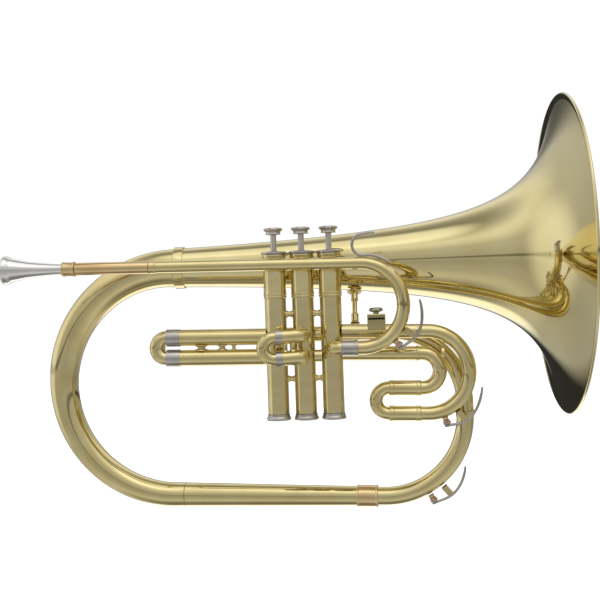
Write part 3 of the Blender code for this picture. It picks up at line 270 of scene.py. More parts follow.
CORK = soft("cork", (0.42, 0.20, 0.10), (0.22, 0.09, 0.045), 900, 0.9, 0.6)

SLOT_MATERIALS = {
    "brass_shell": BRASS,
    "brass_slide": BRASS,
    "brass_casing": CASING_BRASS,
    "brass_fitting": BRASS,
    "red_brass": RED_BRASS,
    "nickel_silver": NICKEL,
    "silver_plate": SILVER,
    "piston_steel": STEEL,
    "spring_steel": STEEL,
    "cork": CORK,
}
SLOT_OF = {part["node"]: part["material_slot"] for part in frame["record"]["subparts"]}
BODY_OF = {node: body for body, names in frame["record"]["behaviour"]["bodies"].items() for node in names}
for node_name, node_object in NODES.items():
    node_object.data.materials.clear()
    node_object.data.materials.append(SLOT_MATERIALS[SLOT_OF[node_name]])


# ---------------------------------------------------------------- shapes

SHARP_ANGLE = math.radians(38)


def add_piece(name, mesh, material, near, replaced=True):
    """A piece that takes its body from a CAD node, and stands for it unless told otherwise."""
    mesh.materials.append(material)
    mesh.shade_smooth()
    mesh.set_sharp_from_angle(angle=SHARP_ANGLE)
    piece = bpy.data.objects.new(name, mesh)
    bpy.context.scene.collection.objects.link(piece)
    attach(piece, BODY_OF[near])
    if replaced:
        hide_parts(near)
    return piece


def rings_mesh(name, rings, ends):
    """A skin over rings of points. ends is "loop" for a closed section and "caps" for a solid bar."""
    sides = len(rings[0])
    verts = [tuple(point) for ring in rings for point in ring]
    pairs = list(zip(range(len(rings)), range(1, len(rings))))
    if ends == "loop":
        pairs.append((len(rings) - 1, 0))
    faces = [
        (a * sides + i, a * sides + (i + 1) % sides, b * sides + (i + 1) % sides, b * sides + i)
        for a, b in pairs
        for i in range(sides)
    ]
    if ends == "caps":
        faces.append(tuple(reversed(range(sides))))
        faces.append(tuple((len(rings) - 1) * sides + i for i in range(sides)))
    mesh = bpy.data.meshes.new(name)
    mesh.from_pydata(verts, [], faces)
    shape = bmesh.new()
    shape.from_mesh(mesh)
    bmesh.ops.recalc_face_normals(shape, faces=shape.faces)
    shape.to_mesh(mesh)
    shape.free()
    return mesh


def lathe(name, profile, base, direction, sides=96):
    """A turned skin from (radius, height) points round a closed section."""
    turn = Vector(direction).to_track_quat("Z", "Y").to_matrix()
    base = Vector(base)
    rings = []
    for radius, height in reversed(profile):
        radius = max(radius, 0.00001)
        ring = [
            base + turn @ Vector((radius * math.cos(a), radius * math.sin(a), height))
            for a in (math.tau * i / sides for i in range(sides))
        ]
        rings.append(ring)
    closed = profile[0][0] > 0 and profile[-1][0] > 0
    return rings_mesh(name, rings, "loop" if closed else "caps")


def softened(profile, radius, closed=False, steps=4):
    """The profile with its corners rounded by up to a radius."""
    points = [Vector(p) for p in profile]
    count = len(points)
    result = []
    for i, point in enumerate(points):
        if not closed and i in (0, count - 1):
            result.append(tuple(point))
            continue
        before, after = points[i - 1], points[(i + 1) % count]
        r = min(radius, 0.45 * (before - point).length, 0.45 * (after - point).length)
        start = point + (before - point).normalized() * r
        end = point + (after - point).normalized() * r
        for k in range(steps + 1):
            t = k / steps
            result.append(tuple(start * (1 - t) ** 2 + point * 2 * t * (1 - t) + end * t**2))
    return result


def mirrored(half_profile):
    """A profile followed by its mirror image below height zero."""
    return half_profile + [(radius, -height) for radius, height in reversed(half_profile)]


def route(corners, bends, step=math.radians(4)):
    """A path through corner points with each inner corner rounded to its bend radius."""
    points = [Vector(corners[0])]
    for before, corner, after, bend in zip(corners, corners[1:], corners[2:], bends):
        corner = Vector(corner)
        arriving = (corner - Vector(before)).normalized()
        leaving = (Vector(after) - corner).normalized()
        turn = arriving.angle(leaving)
        inward = (leaving - arriving * math.cos(turn)).normalized()
        start = corner - arriving * bend * math.tan(turn / 2)
        centre = start + inward * bend
        count = max(3, round(turn / step))
        for i in range(count + 1):
            angle = turn * i / count
            points.append(centre - inward * bend * math.cos(angle) + arriving * bend * math.sin(angle))
    points.append(Vector(corners[-1]))
    return [p for i, p in enumerate(points) if i == 0 or (p - points[i - 1]).length > 0.00005]


def lengths(path):
    total = [0.0]
    for a, b in zip(path, path[1:]):
        total.append(total[-1] + (b - a).length)
    return total


def tapered(path, start, end):
    along = lengths(path)
    return [start + (end - start) * s / along[-1] for s in along]


def tube_rings(path, radii, sides):
    """Rings square to the path, carried along it without twisting."""
    tangents = []
    for i, point in enumerate(path):
        ahead = path[min(i + 1, len(path) - 1)] - point
        behind = point - path[max(i - 1, 0)]
        tangents.append((ahead.normalized() + behind.normalized()).normalized())
    normal = tangents[0].orthogonal().normalized()
    rings = []
    for i, (point, radius) in enumerate(zip(path, radii)):
        normal = (normal - tangents[i] * normal.dot(tangents[i])).normalized()
        side = tangents[i].cross(normal)
        ring = [
            point + (normal * math.cos(a) + side * math.sin(a)) * radius
            for a in (math.tau * k / sides for k in range(sides))
        ]
        rings.append(ring)
    return rings


def tube(name, path, radius, wall, sides=40):
    """A hollow tube with softly rounded ends."""
    radii = list(radius) if hasattr(radius, "__len__") else [radius] * len(path)
    ease = 0.12 * MM
    first_step = (path[1] - path[0]).normalized() * ease
    last_step = (path[-2] - path[-1]).normalized() * ease
    path = [path[0], path[0] + first_step, *path[1:-1], path[-1] + last_step, path[-1]]
    radii = [radii[0] - ease, radii[0], *radii[1:-1], radii[-1], radii[-1] - ease]
    outside = tube_rings(path, radii, sides)
    inside = tube_rings(path, [r - wall for r in radii], sides)
    return rings_mesh(name, outside + inside[::-1], "loop")


DOME_ANGLES = (0.15, 0.5, 0.9, 1.3)


def bar(name, path, radius, sides=20):
    """A solid round bar with domed ends."""
    radii = list(radius) if hasattr(radius, "__len__") else [radius] * len(path)
    dome = []
    for place, onward, r in ((path[0], path[1], radii[0]), (path[-1], path[-2], radii[-1])):
        inward = (onward - place).normalized()
        dome.append([(place + inward * r * (1 - math.cos(t)), r * math.sin(t)) for t in DOME_ANGLES])
    points = [p for p, _ in dome[0]] + list(path[1:-1]) + [p for p, _ in dome[1]][::-1]
    sizes = [r for _, r in dome[0]] + radii[1:-1] + [r for _, r in dome[1]][::-1]
    return rings_mesh(name, tube_rings(points, sizes, sides), "caps")


def smooth_path(points, steps=6):
    """A Catmull-Rom curve through the points."""
    points = [Vector(p) for p in points]
    padded = [2 * points[0] - points[1], *points, 2 * points[-1] - points[-2]]
    path = []
    for a, b, c, d in zip(padded, padded[1:], padded[2:], padded[3:]):
        for k in range(steps):
            t = k / steps
            square = (2 * a - 5 * b + 4 * c - d) * t**2
            cube = (3 * b - a - 3 * c + d) * t**3
            path.append(0.5 * ((2 * b) + (c - a) * t + square + cube))
    path.append(points[-1])
    return path


def tilted_plane(tilt, depth):
    """Places points of an upright plane that is turned a little about Y."""
    def place(x, z):
        across = x * math.cos(tilt) + z * math.sin(tilt)
        return Vector((across, depth, z * math.cos(tilt) - x * math.sin(tilt)))

    return place


lead = tilted_plane(LEAD_TILT, LEAD_DEPTH_Y)
first = tilted_plane(FIRST_TILT, 0.0)
third = tilted_plane(THIRD_TILT, 0.0)
loop = tilted_plane(0.0, OUTLET_DEPTH_Y)
ALONG_LEAD = lead(1, 0) - lead(0, 0)
ALONG_THIRD = third(1, 0) - third(0, 0)
X, Y, Z = Vector((1, 0, 0)), Vector((0, 1, 0)), Vector((0, 0, 1))


def turned(name, profile, ease, base, way, material, near, replaced=True, sides=96, steps=4):
    """A turned piece whose profile has its corners eased."""
    closed = profile[0][0] > 0 and profile[-1][0] > 0
    mesh = lathe(name, softened(profile, ease, closed, steps), base, way, sides)
    return add_piece(name, mesh, material, near, replaced)


def piped(name, path, radius, material, near, wall=TUBE_WALL, sides=48, replaced=True):
    """A piece of hollow tube along a path."""
    return add_piece(name, tube(name, path, radius, wall, sides), material, near, replaced)


def band(name, centre, direction, radius, bore, length, material, near, bead=0.0):
    """A short sleeve soldered round a tube, with a bead at each end if asked."""
    half = length / 2
    profile = [(radius, half), (radius, -half), (bore, -half), (bore, half)]
    if bead:
        swell = radius + bead
        beads = mirrored([(radius, half - 0.2 * MM), (swell, half - 0.6 * MM), (radius, half - 1.1 * MM)])
        profile = beads + [(bore, -half), (bore, half)]
    return turned(name, profile, 0.25 * MM, centre, direction, material, near, False)


# ---------------------------------------------------------------- bell and main loop

def bell_radius(back):
    flare = (FLARE_LENGTH / (back + FLARE_LENGTH)) ** FLARE_POWER
    return BELL_RIM_RADIUS * flare + FLARE_TAPER * back


BELL_TAIL_X = LEFT_BOW_X + (BELL_AXIS.z - LEFT_BOW_MIDDLE_HEIGHT) + BOW_STUB
BELL_LENGTH = BELL_RIM_X - BELL_TAIL_X
TAIL_RADIUS = bell_radius(BELL_LENGTH)


def make_bell():
    rim, bead = BELL_RIM_RADIUS, RIM_BEAD / 2
    outer, inner = [], []
    for i in range(1, 91):
        back = 1.2 * MM + (BELL_LENGTH - GAP - 1.2 * MM) * (i / 90) ** 2.4
        slope = (bell_radius(back + 0.0001) - bell_radius(back - 0.0001)) / 0.0002
        normal = Vector((1.0, -slope)).normalized()
        outer.append((bell_radius(back), -back))
        inner.append((bell_radius(back) - BELL_WALL * normal.x, -(back - BELL_WALL * normal.y)))
    roll = [
        (rim - bead + bead * math.cos(a), -bead + bead * math.sin(a))
        for a in (math.radians(d) for d in range(150, -121, -15))
    ]
    profile = roll + outer + inner[::-1]
    base = Vector((BELL_RIM_X, BELL_AXIS.y, BELL_AXIS.z))
    add_piece("bell_skin", lathe("bell_skin", profile, base, X, 160), BELL_BRASS, "bell")


def make_main_loop():
    y = BELL_AXIS.y
    lower_bend = LEFT_BOW_MIDDLE_HEIGHT - LEFT_BOW_END_HEIGHT
    upper_bend = BELL_AXIS.z - LEFT_BOW_MIDDLE_HEIGHT
    left_end_x = LEFT_BOW_X + lower_bend + BOW_STUB
    start = Vector((left_end_x, y, LEFT_BOW_END_HEIGHT))
    corner = loop(RIGHT_BOW_X, RIGHT_BOW_BOTTOM)
    run = (corner - start).normalized()
    joint = start + run * ((BOTTOM_TUBE_END_X + BOTTOM_FERRULE_LENGTH / 2 - left_end_x) / run.x)
    path = route(
        [
            Vector((BELL_TAIL_X, y, BELL_AXIS.z)),
            Vector((LEFT_BOW_X, y, BELL_AXIS.z)),
            Vector((LEFT_BOW_X, y, LEFT_BOW_END_HEIGHT)),
            start,
        ],
        [upper_bend, lower_bend],
        math.radians(3),
    )
    path.append(start + run * BOW_STUB)
    along = lengths(path)
    middle = upper_bend * math.pi / 2
    radii = [
        TAIL_RADIUS + (LEFT_BOW_MIDDLE_RADIUS - TAIL_RADIUS) * (s / middle) ** 0.8
        if s < middle
        else LEFT_BOW_MIDDLE_RADIUS
        + (LEFT_BOW_END_RADIUS - LEFT_BOW_MIDDLE_RADIUS) * (s - middle) / (along[-1] - middle)
        for s in along
    ]
    piped("left_bow_skin", path, radii, BRASS, "left_bow", wall=BOW_WALL, sides=64)
    sleeve = bell_radius(BELL_LENGTH - 9 * MM) + GAP
    profile = [(sleeve + 0.9 * MM, 9 * MM), (sleeve + 0.9 * MM, GAP), (sleeve, GAP), (sleeve, 9 * MM)]
    turned("tail_sleeve", profile, 0.4 * MM, (BELL_TAIL_X, y, BELL_AXIS.z), X, BRASS, "bell_tail_ferrule")

    line = [start + run * (BOW_STUB + GAP), joint - run * GAP / 2]
    widths = [LEFT_BOW_END_RADIUS, BOTTOM_TUBE_END_RADIUS]
    piped("bottom_tube_skin", line, widths, BRASS, "bottom_tube", wall=BOW_WALL, sides=56)
    bore, half = BOTTOM_TUBE_END_RADIUS + 2 * GAP, BOTTOM_FERRULE_LENGTH / 2
    outer = bore + 0.9 * MM
    rim = [
        (outer - 0.3 * MM, half),
        (outer, half - 0.5 * MM),
        (outer, half - 1.4 * MM),
        (outer - 0.35 * MM, half - 1.8 * MM),
    ]
    profile = mirrored(rim) + [(bore, -half), (bore, half)]
    turned("bottom_sleeve", profile, 0.25 * MM, joint, run, RED_BRASS, "bottom_ferrule")

    top = RIGHT_BOW_BOTTOM + RIGHT_BOW_RADIUS * math.tan(run.angle(Z) / 2)
    stub = 1.0 * MM
    path = route(
        [joint + run * GAP / 2, corner, loop(RIGHT_BOW_X, top + stub)],
        [RIGHT_BOW_RADIUS],
        math.radians(3),
    )
    piped("right_bow_skin", path, tapered(path, RIGHT_BOW_TUBE_RADIUS, OUTLET_RADIUS), BRASS,
          "right_bow", wall=BOW_WALL)
    path = route(
        [
            loop(RIGHT_BOW_X, top + stub + GAP),
            loop(RIGHT_BOW_X, OUTLET_HEIGHT),
            loop(VALVES[0], OUTLET_HEIGHT),
            Vector((VALVES[0], CASING_RADIUS - JOINT_DEPTH, OUTLET_HEIGHT)),
        ],
        [OUTLET_BEND, OUTLET_ELBOW_BEND],
    )
    piped("outlet_skin", path, tapered(path, OUTLET_RADIUS, OUTLET_END_RADIUS), BRASS, "outlet_tube",
          wall=BOW_WALL)
    band("outlet_ring", loop(RIGHT_BOW_X, top + stub), Z, OUTLET_RADIUS + 0.5 * MM,
         OUTLET_RADIUS - 0.1 * MM, 6 * MM, BRASS, "outlet_tube")


make_bell()
make_main_loop()


# ---------------------------------------------------------------- valves

def make_casing(number, x):
    seat_top = CASING_TOP + CAP_SEAT_HEIGHT
    ring, barrel, bore = CASING_RING_HEIGHT, BARREL_RADIUS, CASING_RADIUS - CASING_WALL
    profile = [
        (CAP_SEAT_RADIUS, seat_top),
        (CAP_SEAT_RADIUS, CASING_TOP + 0.6 * MM),
        (barrel + 0.1 * MM, CASING_TOP),
        (barrel, CASING_TOP - 1.5 * MM),
        (barrel, ring + 2.0 * MM),
        (barrel + 0.35 * MM, ring + 1.6 * MM),
        (barrel + 0.35 * MM, ring + 0.8 * MM),
        (barrel - 0.1 * MM, ring + 0.3 * MM),
        (barrel - 0.1 * MM, ring - 0.3 * MM),
        (barrel + 0.35 * MM, ring - 0.8 * MM),
        (barrel + 0.2 * MM, ring - 1.6 * MM),
        (CASING_RADIUS, ring - 2.0 * MM),
        (CASING_RADIUS, CASING_BOTTOM),
        (bore, CASING_BOTTOM),
        (bore, seat_top),
    ]
    turned(f"casing_{number}_skin", profile, 0.3 * MM, (x, 0, 0), Z, CASING_BRASS, f"valve_casing_{number}")


def make_caps(number, x):
    base = CASING_TOP + CAP_SEAT_HEIGHT + GAP
    top, plug = base + TOP_CAP_HEIGHT, CASING_RADIUS - CASING_WALL - GAP
    radius = TOP_CAP_RADIUS
    profile = [
        (STEM_RADIUS + 0.6 * MM, top),
        (radius - 2.6 * MM, top),
        (radius - 1.2 * MM, top - 0.15 * MM),
        (radius, top - 0.9 * MM),
        (radius, base),
        (plug, base),
        (plug, CASING_TOP - 1.2 * MM),
        (plug - 1.2 * MM, CASING_TOP - 1.2 * MM),
        (plug - 1.2 * MM, base),
        (STEM_RADIUS + 0.6 * MM, base),
    ]
    turned(f"top_cap_{number}_skin", profile, 0.35 * MM, (x, 0, 0), Z, NICKEL, f"top_cap_{number}")

    high, low = CASING_BOTTOM - GAP, CASING_BOTTOM - GAP - BOTTOM_CAP_HEIGHT
    wide = BOTTOM_CAP_RADIUS
    profile = [
        (plug, CASING_BOTTOM + 3 * MM),
        (plug, high),
        (CASING_RADIUS + 0.4 * MM, high),
        (CASING_RADIUS + 0.5 * MM, high - 1.8 * MM),
        (wide - 0.5 * MM, high - 2.4 * MM),
        (wide, low + 1.6 * MM),
        (wide - 0.5 * MM, low + 0.1 * MM),
        (wide - 3.0 * MM, low),
        (1.6 * MM, low),
        (1.6 * MM, low + 1.4 * MM),
        (plug - MM, low + 1.4 * MM),
        (plug - MM, CASING_BOTTOM + 3 * MM),
    ]
    turned(f"bottom_cap_{number}_skin", profile, 0.35 * MM, (x, 0, 0), Z, NICKEL, f"bottom_cap_{number}")


def make_button(number, x):
    low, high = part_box(f"finger_button_{number}")
    top, base, radius = high.z, low.z, BUTTON_RADIUS
    profile = [
        (0.0, top - 0.9 * MM),
        (radius - 3.4 * MM, top - 0.85 * MM),
        (radius - 2.2 * MM, top - 0.3 * MM),
        (radius - 1.1 * MM, top),
        (radius, top - 1.3 * MM),
        (radius - 0.7 * MM, top - 2.6 * MM),
        (radius - 2.1 * MM, top - 3.2 * MM),
        (radius - 2.1 * MM, top - 4.6 * MM),
        (radius - 1.7 * MM, base),
        (0.0, base),
    ]
    turned(f"button_{number}_skin", profile, 0.5 * MM, (x, 0, 0), Z, NICKEL, f"finger_button_{number}")


def make_piston(number, x):
    low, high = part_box(f"piston_{number}")
    body_top = low.z + PISTON_LENGTH
    wide, hollow = CASING_RADIUS - CASING_WALL - GAP, CASING_RADIUS - 2.2 * MM
    profile = [
        (0.0, high.z),
        (STEM_RADIUS, high.z),
        (STEM_RADIUS, body_top),
        (wide, body_top),
        (wide, low.z),
        (hollow, low.z),
        (hollow, low.z + 12 * MM),
        (0.0, low.z + 12 * MM),
    ]
    turned(f"piston_{number}_skin", profile, 0.3 * MM, (x, 0, 0), Z, NICKEL, f"piston_{number}", sides=64)


def make_spring(number, x):
    low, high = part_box(f"valve_spring_{number}")
    wire, turns = 0.5 * MM, 7
    bottom, top = low.z + wire, high.z - wire
    coil = [
        Vector((
            x + SPRING_RADIUS * math.cos(math.tau * i / 24),
            SPRING_RADIUS * math.sin(math.tau * i / 24),
            bottom + (top - bottom) * i / (turns * 24),
        ))
        for i in range(turns * 24 + 1)
    ]
    name = f"spring_{number}_coil"
    piece = add_piece(name, bar(name, coil, wire, 10), STEEL, f"valve_spring_{number}")
    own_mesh(piece)


def make_valves():
    for number, x in enumerate(VALVES, 1):
        make_casing(number, x)
        make_caps(number, x)
        make_button(number, x)
        make_piston(number, x)
        make_spring(number, x)
    for side in (0, 1):
        left, right = VALVES[side], VALVES[side + 1]
        reach = CASING_RADIUS - 0.6 * MM
        ends = [Vector((left + reach, 0, CROSS_PORT_HEIGHT)), Vector((right - reach, 0, CROSS_PORT_HEIGHT))]
        piped(f"port_tube_{side + 1}_skin", ends, PORT_RADIUS, BRASS, f"port_tube_{side + 1}_{side + 2}",
              sides=40)
        for level, height in zip(("upper", "lower"), SPACER_HEIGHTS):
            length = right - left - 2 * reach
            profile = [
                (SPACER_RADIUS + 1.2 * MM, length),
                (SPACER_RADIUS, length - 2.4 * MM),
                (SPACER_RADIUS, 2.4 * MM),
                (SPACER_RADIUS + 1.2 * MM, 0.0),
                (0.5 * MM, 0.0),
                (0.5 * MM, length),
            ]
            turned(f"spacer_{side + 1}_{level}", profile, 0.8 * MM, (left + reach, 0, height), X,
                   CASING_BRASS, "valve_casing_2", False, sides=48)


# ---------------------------------------------------------------- lead pipe, tuning slide and mouthpiece

def make_mouthpiece():
    length, rim = MOUTHPIECE_LENGTH, MOUTHPIECE_RIM_RADIUS
    outside = [
        (rim - 2.0 * MM, length),
        (rim - 0.6 * MM, length - 0.6 * MM),
        (rim, length - 2.2 * MM),
        (rim - 0.4 * MM, length - 4.6 * MM),
        (rim - 2.4 * MM, length - 8.0 * MM),
        (8.7 * MM, length - 14.0 * MM),
        (7.2 * MM, length - 21.0 * MM),
        (6.2 * MM, length - 29.0 * MM),
        (5.1 * MM, length - 40.0 * MM),
        (SHANK_RADIUS + 0.3 * MM, length - 48.0 * MM),
        (SHANK_RADIUS, 0.0),
    ]
    inside = [
        (3.2 * MM, 0.0),
        (2.3 * MM, length - 30.0 * MM),
        (4.6 * MM, length - 16.0 * MM),
        (rim - 4.2 * MM, length - 3.0 * MM),
        (rim - 3.2 * MM, length - 0.4 * MM),
    ]
    base = lead(MOUTHPIECE_RIM_X + length, LEAD_HEIGHT)
    turned("mouthpiece_skin", outside + inside, 0.9 * MM, base, -ALONG_LEAD, SILVER, "mouthpiece", steps=6)


def make_lead():
    bore = SHANK_RADIUS + 0.6 * MM
    radius, end = RECEIVER_RADIUS, RECEIVER_LENGTH
    profile = [
        (radius + 0.5 * MM, end),
        (radius + 0.5 * MM, end - 1.0 * MM),
        (radius, end - 1.4 * MM),
        (radius, 2.2 * MM),
        (radius + 0.4 * MM, 1.8 * MM),
        (radius + 0.3 * MM, 0.5 * MM),
        (radius - 0.5 * MM, 0.0),
        (bore, 0.0),
        (bore, end),
    ]
    turned("receiver_skin", profile, 0.3 * MM, lead(RECEIVER_START_X, LEAD_HEIGHT), ALONG_LEAD,
           RED_BRASS, "mouthpiece_receiver")

    start = RECEIVER_START_X + RECEIVER_LENGTH + GAP
    tongue = TUNING_START_RADIUS - TUBE_WALL - GAP
    tip, length = TUNING_START_X + 40 * MM - start, TUNING_START_X - GAP - start
    profile = [
        (tongue, tip),
        (tongue, length),
        (MOUTHPIPE_RADIUS, length),
        (MOUTHPIPE_RADIUS, 0.0),
        (tongue - TUBE_WALL, 0.0),
        (tongue - TUBE_WALL, tip),
    ]
    turned("mouthpipe_skin", profile, 0.2 * MM, lead(start, LEAD_HEIGHT), ALONG_LEAD, RED_BRASS,
           "mouthpipe")

    lower = LEAD_HEIGHT - 2 * TUNING_BEND
    end_x = TUNING_FERRULE_END_X + GAP
    path = route(
        [
            lead(TUNING_START_X, LEAD_HEIGHT),
            lead(TUNING_CENTRE_X + TUNING_BEND, LEAD_HEIGHT),
            lead(TUNING_CENTRE_X + TUNING_BEND, lower),
            lead(end_x, lower),
        ],
        [TUNING_BEND, TUNING_BEND],
    )
    along = lengths(path)
    bend_start = along[1]
    radii = [
        TUNING_START_RADIUS
        + (TUNING_END_RADIUS - TUNING_START_RADIUS) * max(0.0, (s - bend_start) / (along[-1] - bend_start))
        for s in along
    ]
    piped("tuning_slide_skin", path, radii, BRASS, "tuning_slide_tube")
    inner = TUNING_END_RADIUS - TUBE_WALL - GAP
    leg = [lead(end_x + MM, lower), lead(end_x - TUNING_TRAVEL - 3 * MM, lower)]
    piped("tuning_inner_leg", leg, inner, NICKEL, "tuning_slide_tube", sides=40, replaced=False)
    band("tuning_start_ring", lead(TUNING_START_X + 3 * MM, LEAD_HEIGHT), ALONG_LEAD,
         TUNING_START_RADIUS + 0.45 * MM,
         TUNING_START_RADIUS - 0.1 * MM, 6 * MM, BRASS, "tuning_slide_tube", 0.25 * MM)

    path = route(
        [
            lead(TUNING_FERRULE_END_X, lower),
            Vector((VALVES[2], LEAD_DEPTH_Y, lead(VALVES[2], lower).z)),
            Vector((VALVES[2], -CASING_RADIUS + JOINT_DEPTH, lead(VALVES[2], lower).z)),
        ],
        [INLET_ELBOW_BEND],
    )
    piped("inlet_skin", path, TUNING_END_RADIUS, BRASS, "inlet_elbow")
    bore, length = TUNING_END_RADIUS + GAP, TUNING_FERRULE_LENGTH
    outer = bore + 0.6 * MM
    profile = [
        (outer, length),
        (outer, length - 2.2 * MM),
        (outer - 0.25 * MM, length - 2.5 * MM),
        (outer - 0.25 * MM, 1.2 * MM),
        (outer, 0.9 * MM),
        (outer, 0.0),
        (bore, 0.0),
        (bore, length),
    ]
    place = lead(TUNING_FERRULE_END_X - length, lower)
    turned("tuning_ferrule_skin", profile, 0.2 * MM, place, ALONG_LEAD, NICKEL, "tuning_ferrule")


def crook_point(degrees, distance):
    a = math.radians(degrees)
    x = TUNING_CENTRE_X + distance * math.cos(a)
    return lead(x, LEAD_HEIGHT - TUNING_BEND + distance * math.sin(a))


def make_hook():
    resting = TUNING_BEND + TUNING_END_RADIUS + GAP + HOOK_WIRE_RADIUS
    foot = [crook_point(a, resting) for a in (53, 61, 69, 78)]
    r = HOOK_CURL_RADIUS
    centre = foot[-1] + Vector((-0.75 * r, 0, r))
    curl = [
        centre + Vector((r * math.cos(math.radians(a)), 0, r * math.sin(math.radians(a))))
        for a in (-95, -120, -145, -170, -195, -220, -245)
    ]
    tip = [curl[-1] + Vector((6.5 * MM, 0, 1.4 * MM)), curl[-1] + Vector((14.0 * MM, 0, 1.8 * MM))]
    path = smooth_path(foot + curl + tip)
    radii = tapered(path, HOOK_WIRE_RADIUS * 0.98, HOOK_WIRE_RADIUS * 0.85)
    add_piece("hook_skin", bar("hook_skin", path, radii, 24), NICKEL, "finger_hook")


def make_mouthpipe_brace():
    low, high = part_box("mouthpipe_brace")
    length = high.y - low.y
    centre = ((low.x + high.x) / 2, low.y, (low.z + high.z) / 2)
    profile = [
        (0.0, length),
        (4.0 * MM, length),
        (4.0 * MM, length - 1.4 * MM),
        (1.9 * MM, length - 3.0 * MM),
        (1.5 * MM, length / 2),
        (1.9 * MM, 3.0 * MM),
        (3.4 * MM, 1.2 * MM),
        (3.4 * MM, 0.0),
        (0.0, 0.0),
    ]
    turned("mouthpipe_post", profile, 0.8 * MM, centre, Y, BRASS, "mouthpipe_brace")


# ---------------------------------------------------------------- valve slides

def slide_leg(name, path, radius, node, ferrule_from, ferrule_to):
    piped(name + "_skin", path, radius, BRASS, node)
    middle, length = (ferrule_from + ferrule_to) / 2, (ferrule_to - ferrule_from).length
    way = (ferrule_to - ferrule_from).normalized()
    band(name + "_ferrule", middle, way, radius + FERRULE_SWELL, radius - 0.1 * MM, length, NICKEL, node)


STAY_BACK = 2.6 * MM
STAY_RADIUS = 1.5 * MM
FIRST_POSTS_X = (-70.5 * MM, -60.5 * MM)
FIRST_POST_RADII = (6.0 * MM, 4.6 * MM, 2.6 * MM)
SECOND_POSTS_BACK = (8.5 * MM, 15.0 * MM)
SECOND_POST_RADII = (1.9 * MM, 2.3 * MM)


def make_first_slide():
    x_end = FIRST_LEG_END_X
    for label, height in zip(("upper", "lower"), FIRST_LEVELS):
        path = [first(VALVES[0] - CASING_RADIUS + JOINT_DEPTH, height), first(x_end, height)]
        ferrule = first(x_end + FIRST_FERRULE_LENGTH, height), first(x_end, height)
        slide_leg(f"first_leg_{label}", path, FIRST_LEG_RADIUS, f"first_slide_leg_{label}", *ferrule)
    upper, lower = FIRST_LEVELS
    bend = (upper - lower) / 2
    radius = min(FIRST_LEG_RADIUS - TUBE_WALL - GAP, 6.3 * MM)
    path = route(
        [
            first(x_end + FIRST_INSERTION, upper),
            first(x_end - bend, upper),
            first(x_end - bend, lower),
            first(x_end + FIRST_INSERTION, lower),
        ],
        [bend, bend],
    )
    piped("first_crook_skin", path, radius, BRASS, "first_slide_crook")
    middle = (upper + lower) / 2
    stay = [first(x_end - STAY_BACK, height) for height in (upper - radius, middle, lower + radius)]
    mesh = bar("first_crook_stay", stay, STAY_RADIUS)
    add_piece("first_crook_stay", mesh, BRASS, "first_slide_crook", False)

    low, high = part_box("first_slide_brace")
    for number, x in enumerate(((low.x + high.x) / 2 - 1 * MM, *FIRST_POSTS_X)):
        half = (upper - lower) / 2 - FIRST_LEG_RADIUS + 0.8 * MM
        wide = FIRST_POST_RADII[number]
        flange = [(0.0, half), (wide, half), (wide - 0.4 * MM, half - 1.0 * MM)]
        profile = mirrored(flange + [(wide * 0.55, half - 1.8 * MM)])
        turned(f"first_leg_post_{number + 1}", profile, 0.4 * MM, first(x, middle),
               first(0, 1) - first(0, 0), BRASS, "first_slide_brace", number == 0)


def make_second_slide():
    level = math.cos(SECOND_DROOP)
    way = Vector((-math.cos(SECOND_TURN) * level, -math.sin(SECOND_TURN) * level, -math.sin(SECOND_DROOP)))
    ends = []
    for label, height in zip(("upper", "lower"), SECOND_LEVELS):
        corner = Vector((0, SECOND_REACH_Y, height))
        end = corner + way * SECOND_LEG_LENGTH
        path = route([Vector((0, -CASING_RADIUS + JOINT_DEPTH, height)), corner, end], [SECOND_ELBOW_BEND])
        ferrule = end - way * SECOND_FERRULE_LENGTH
        slide_leg(f"second_leg_{label}", path, SECOND_LEG_RADIUS, f"second_slide_leg_{label}", ferrule, end)
        ends.append(end)
    across = ends[1] - ends[0]
    down = (across - way * across.dot(way)).normalized()
    bend = across.dot(down) / 2
    step_back = way * across.dot(way)
    radius = SECOND_LEG_RADIUS - TUBE_WALL - GAP
    turn_at = ends[0] + way * (1.5 * MM + bend)
    path = route(
        [
            ends[0] - way * SECOND_INSERTION,
            turn_at,
            turn_at + down * 2 * bend,
            ends[1] - step_back - way * SECOND_INSERTION,
        ],
        [bend, bend],
    )
    piped("second_crook_skin", path, radius, BRASS, "second_slide_crook")
    for number, back in enumerate(SECOND_POSTS_BACK):
        centre = (ends[0] + ends[1]) / 2 - way * back
        half = (SECOND_LEVELS[0] - SECOND_LEVELS[1]) / 2 - SECOND_LEG_RADIUS + 0.8 * MM
        wide = SECOND_POST_RADII[number]
        profile = mirrored([(0.0, half), (wide + 0.8 * MM, half), (wide, half - 1.4 * MM)])
        turned(f"second_leg_post_{number + 1}", profile, 0.4 * MM, centre, -down, BRASS,
               "second_slide_leg_upper", False, sides=48)


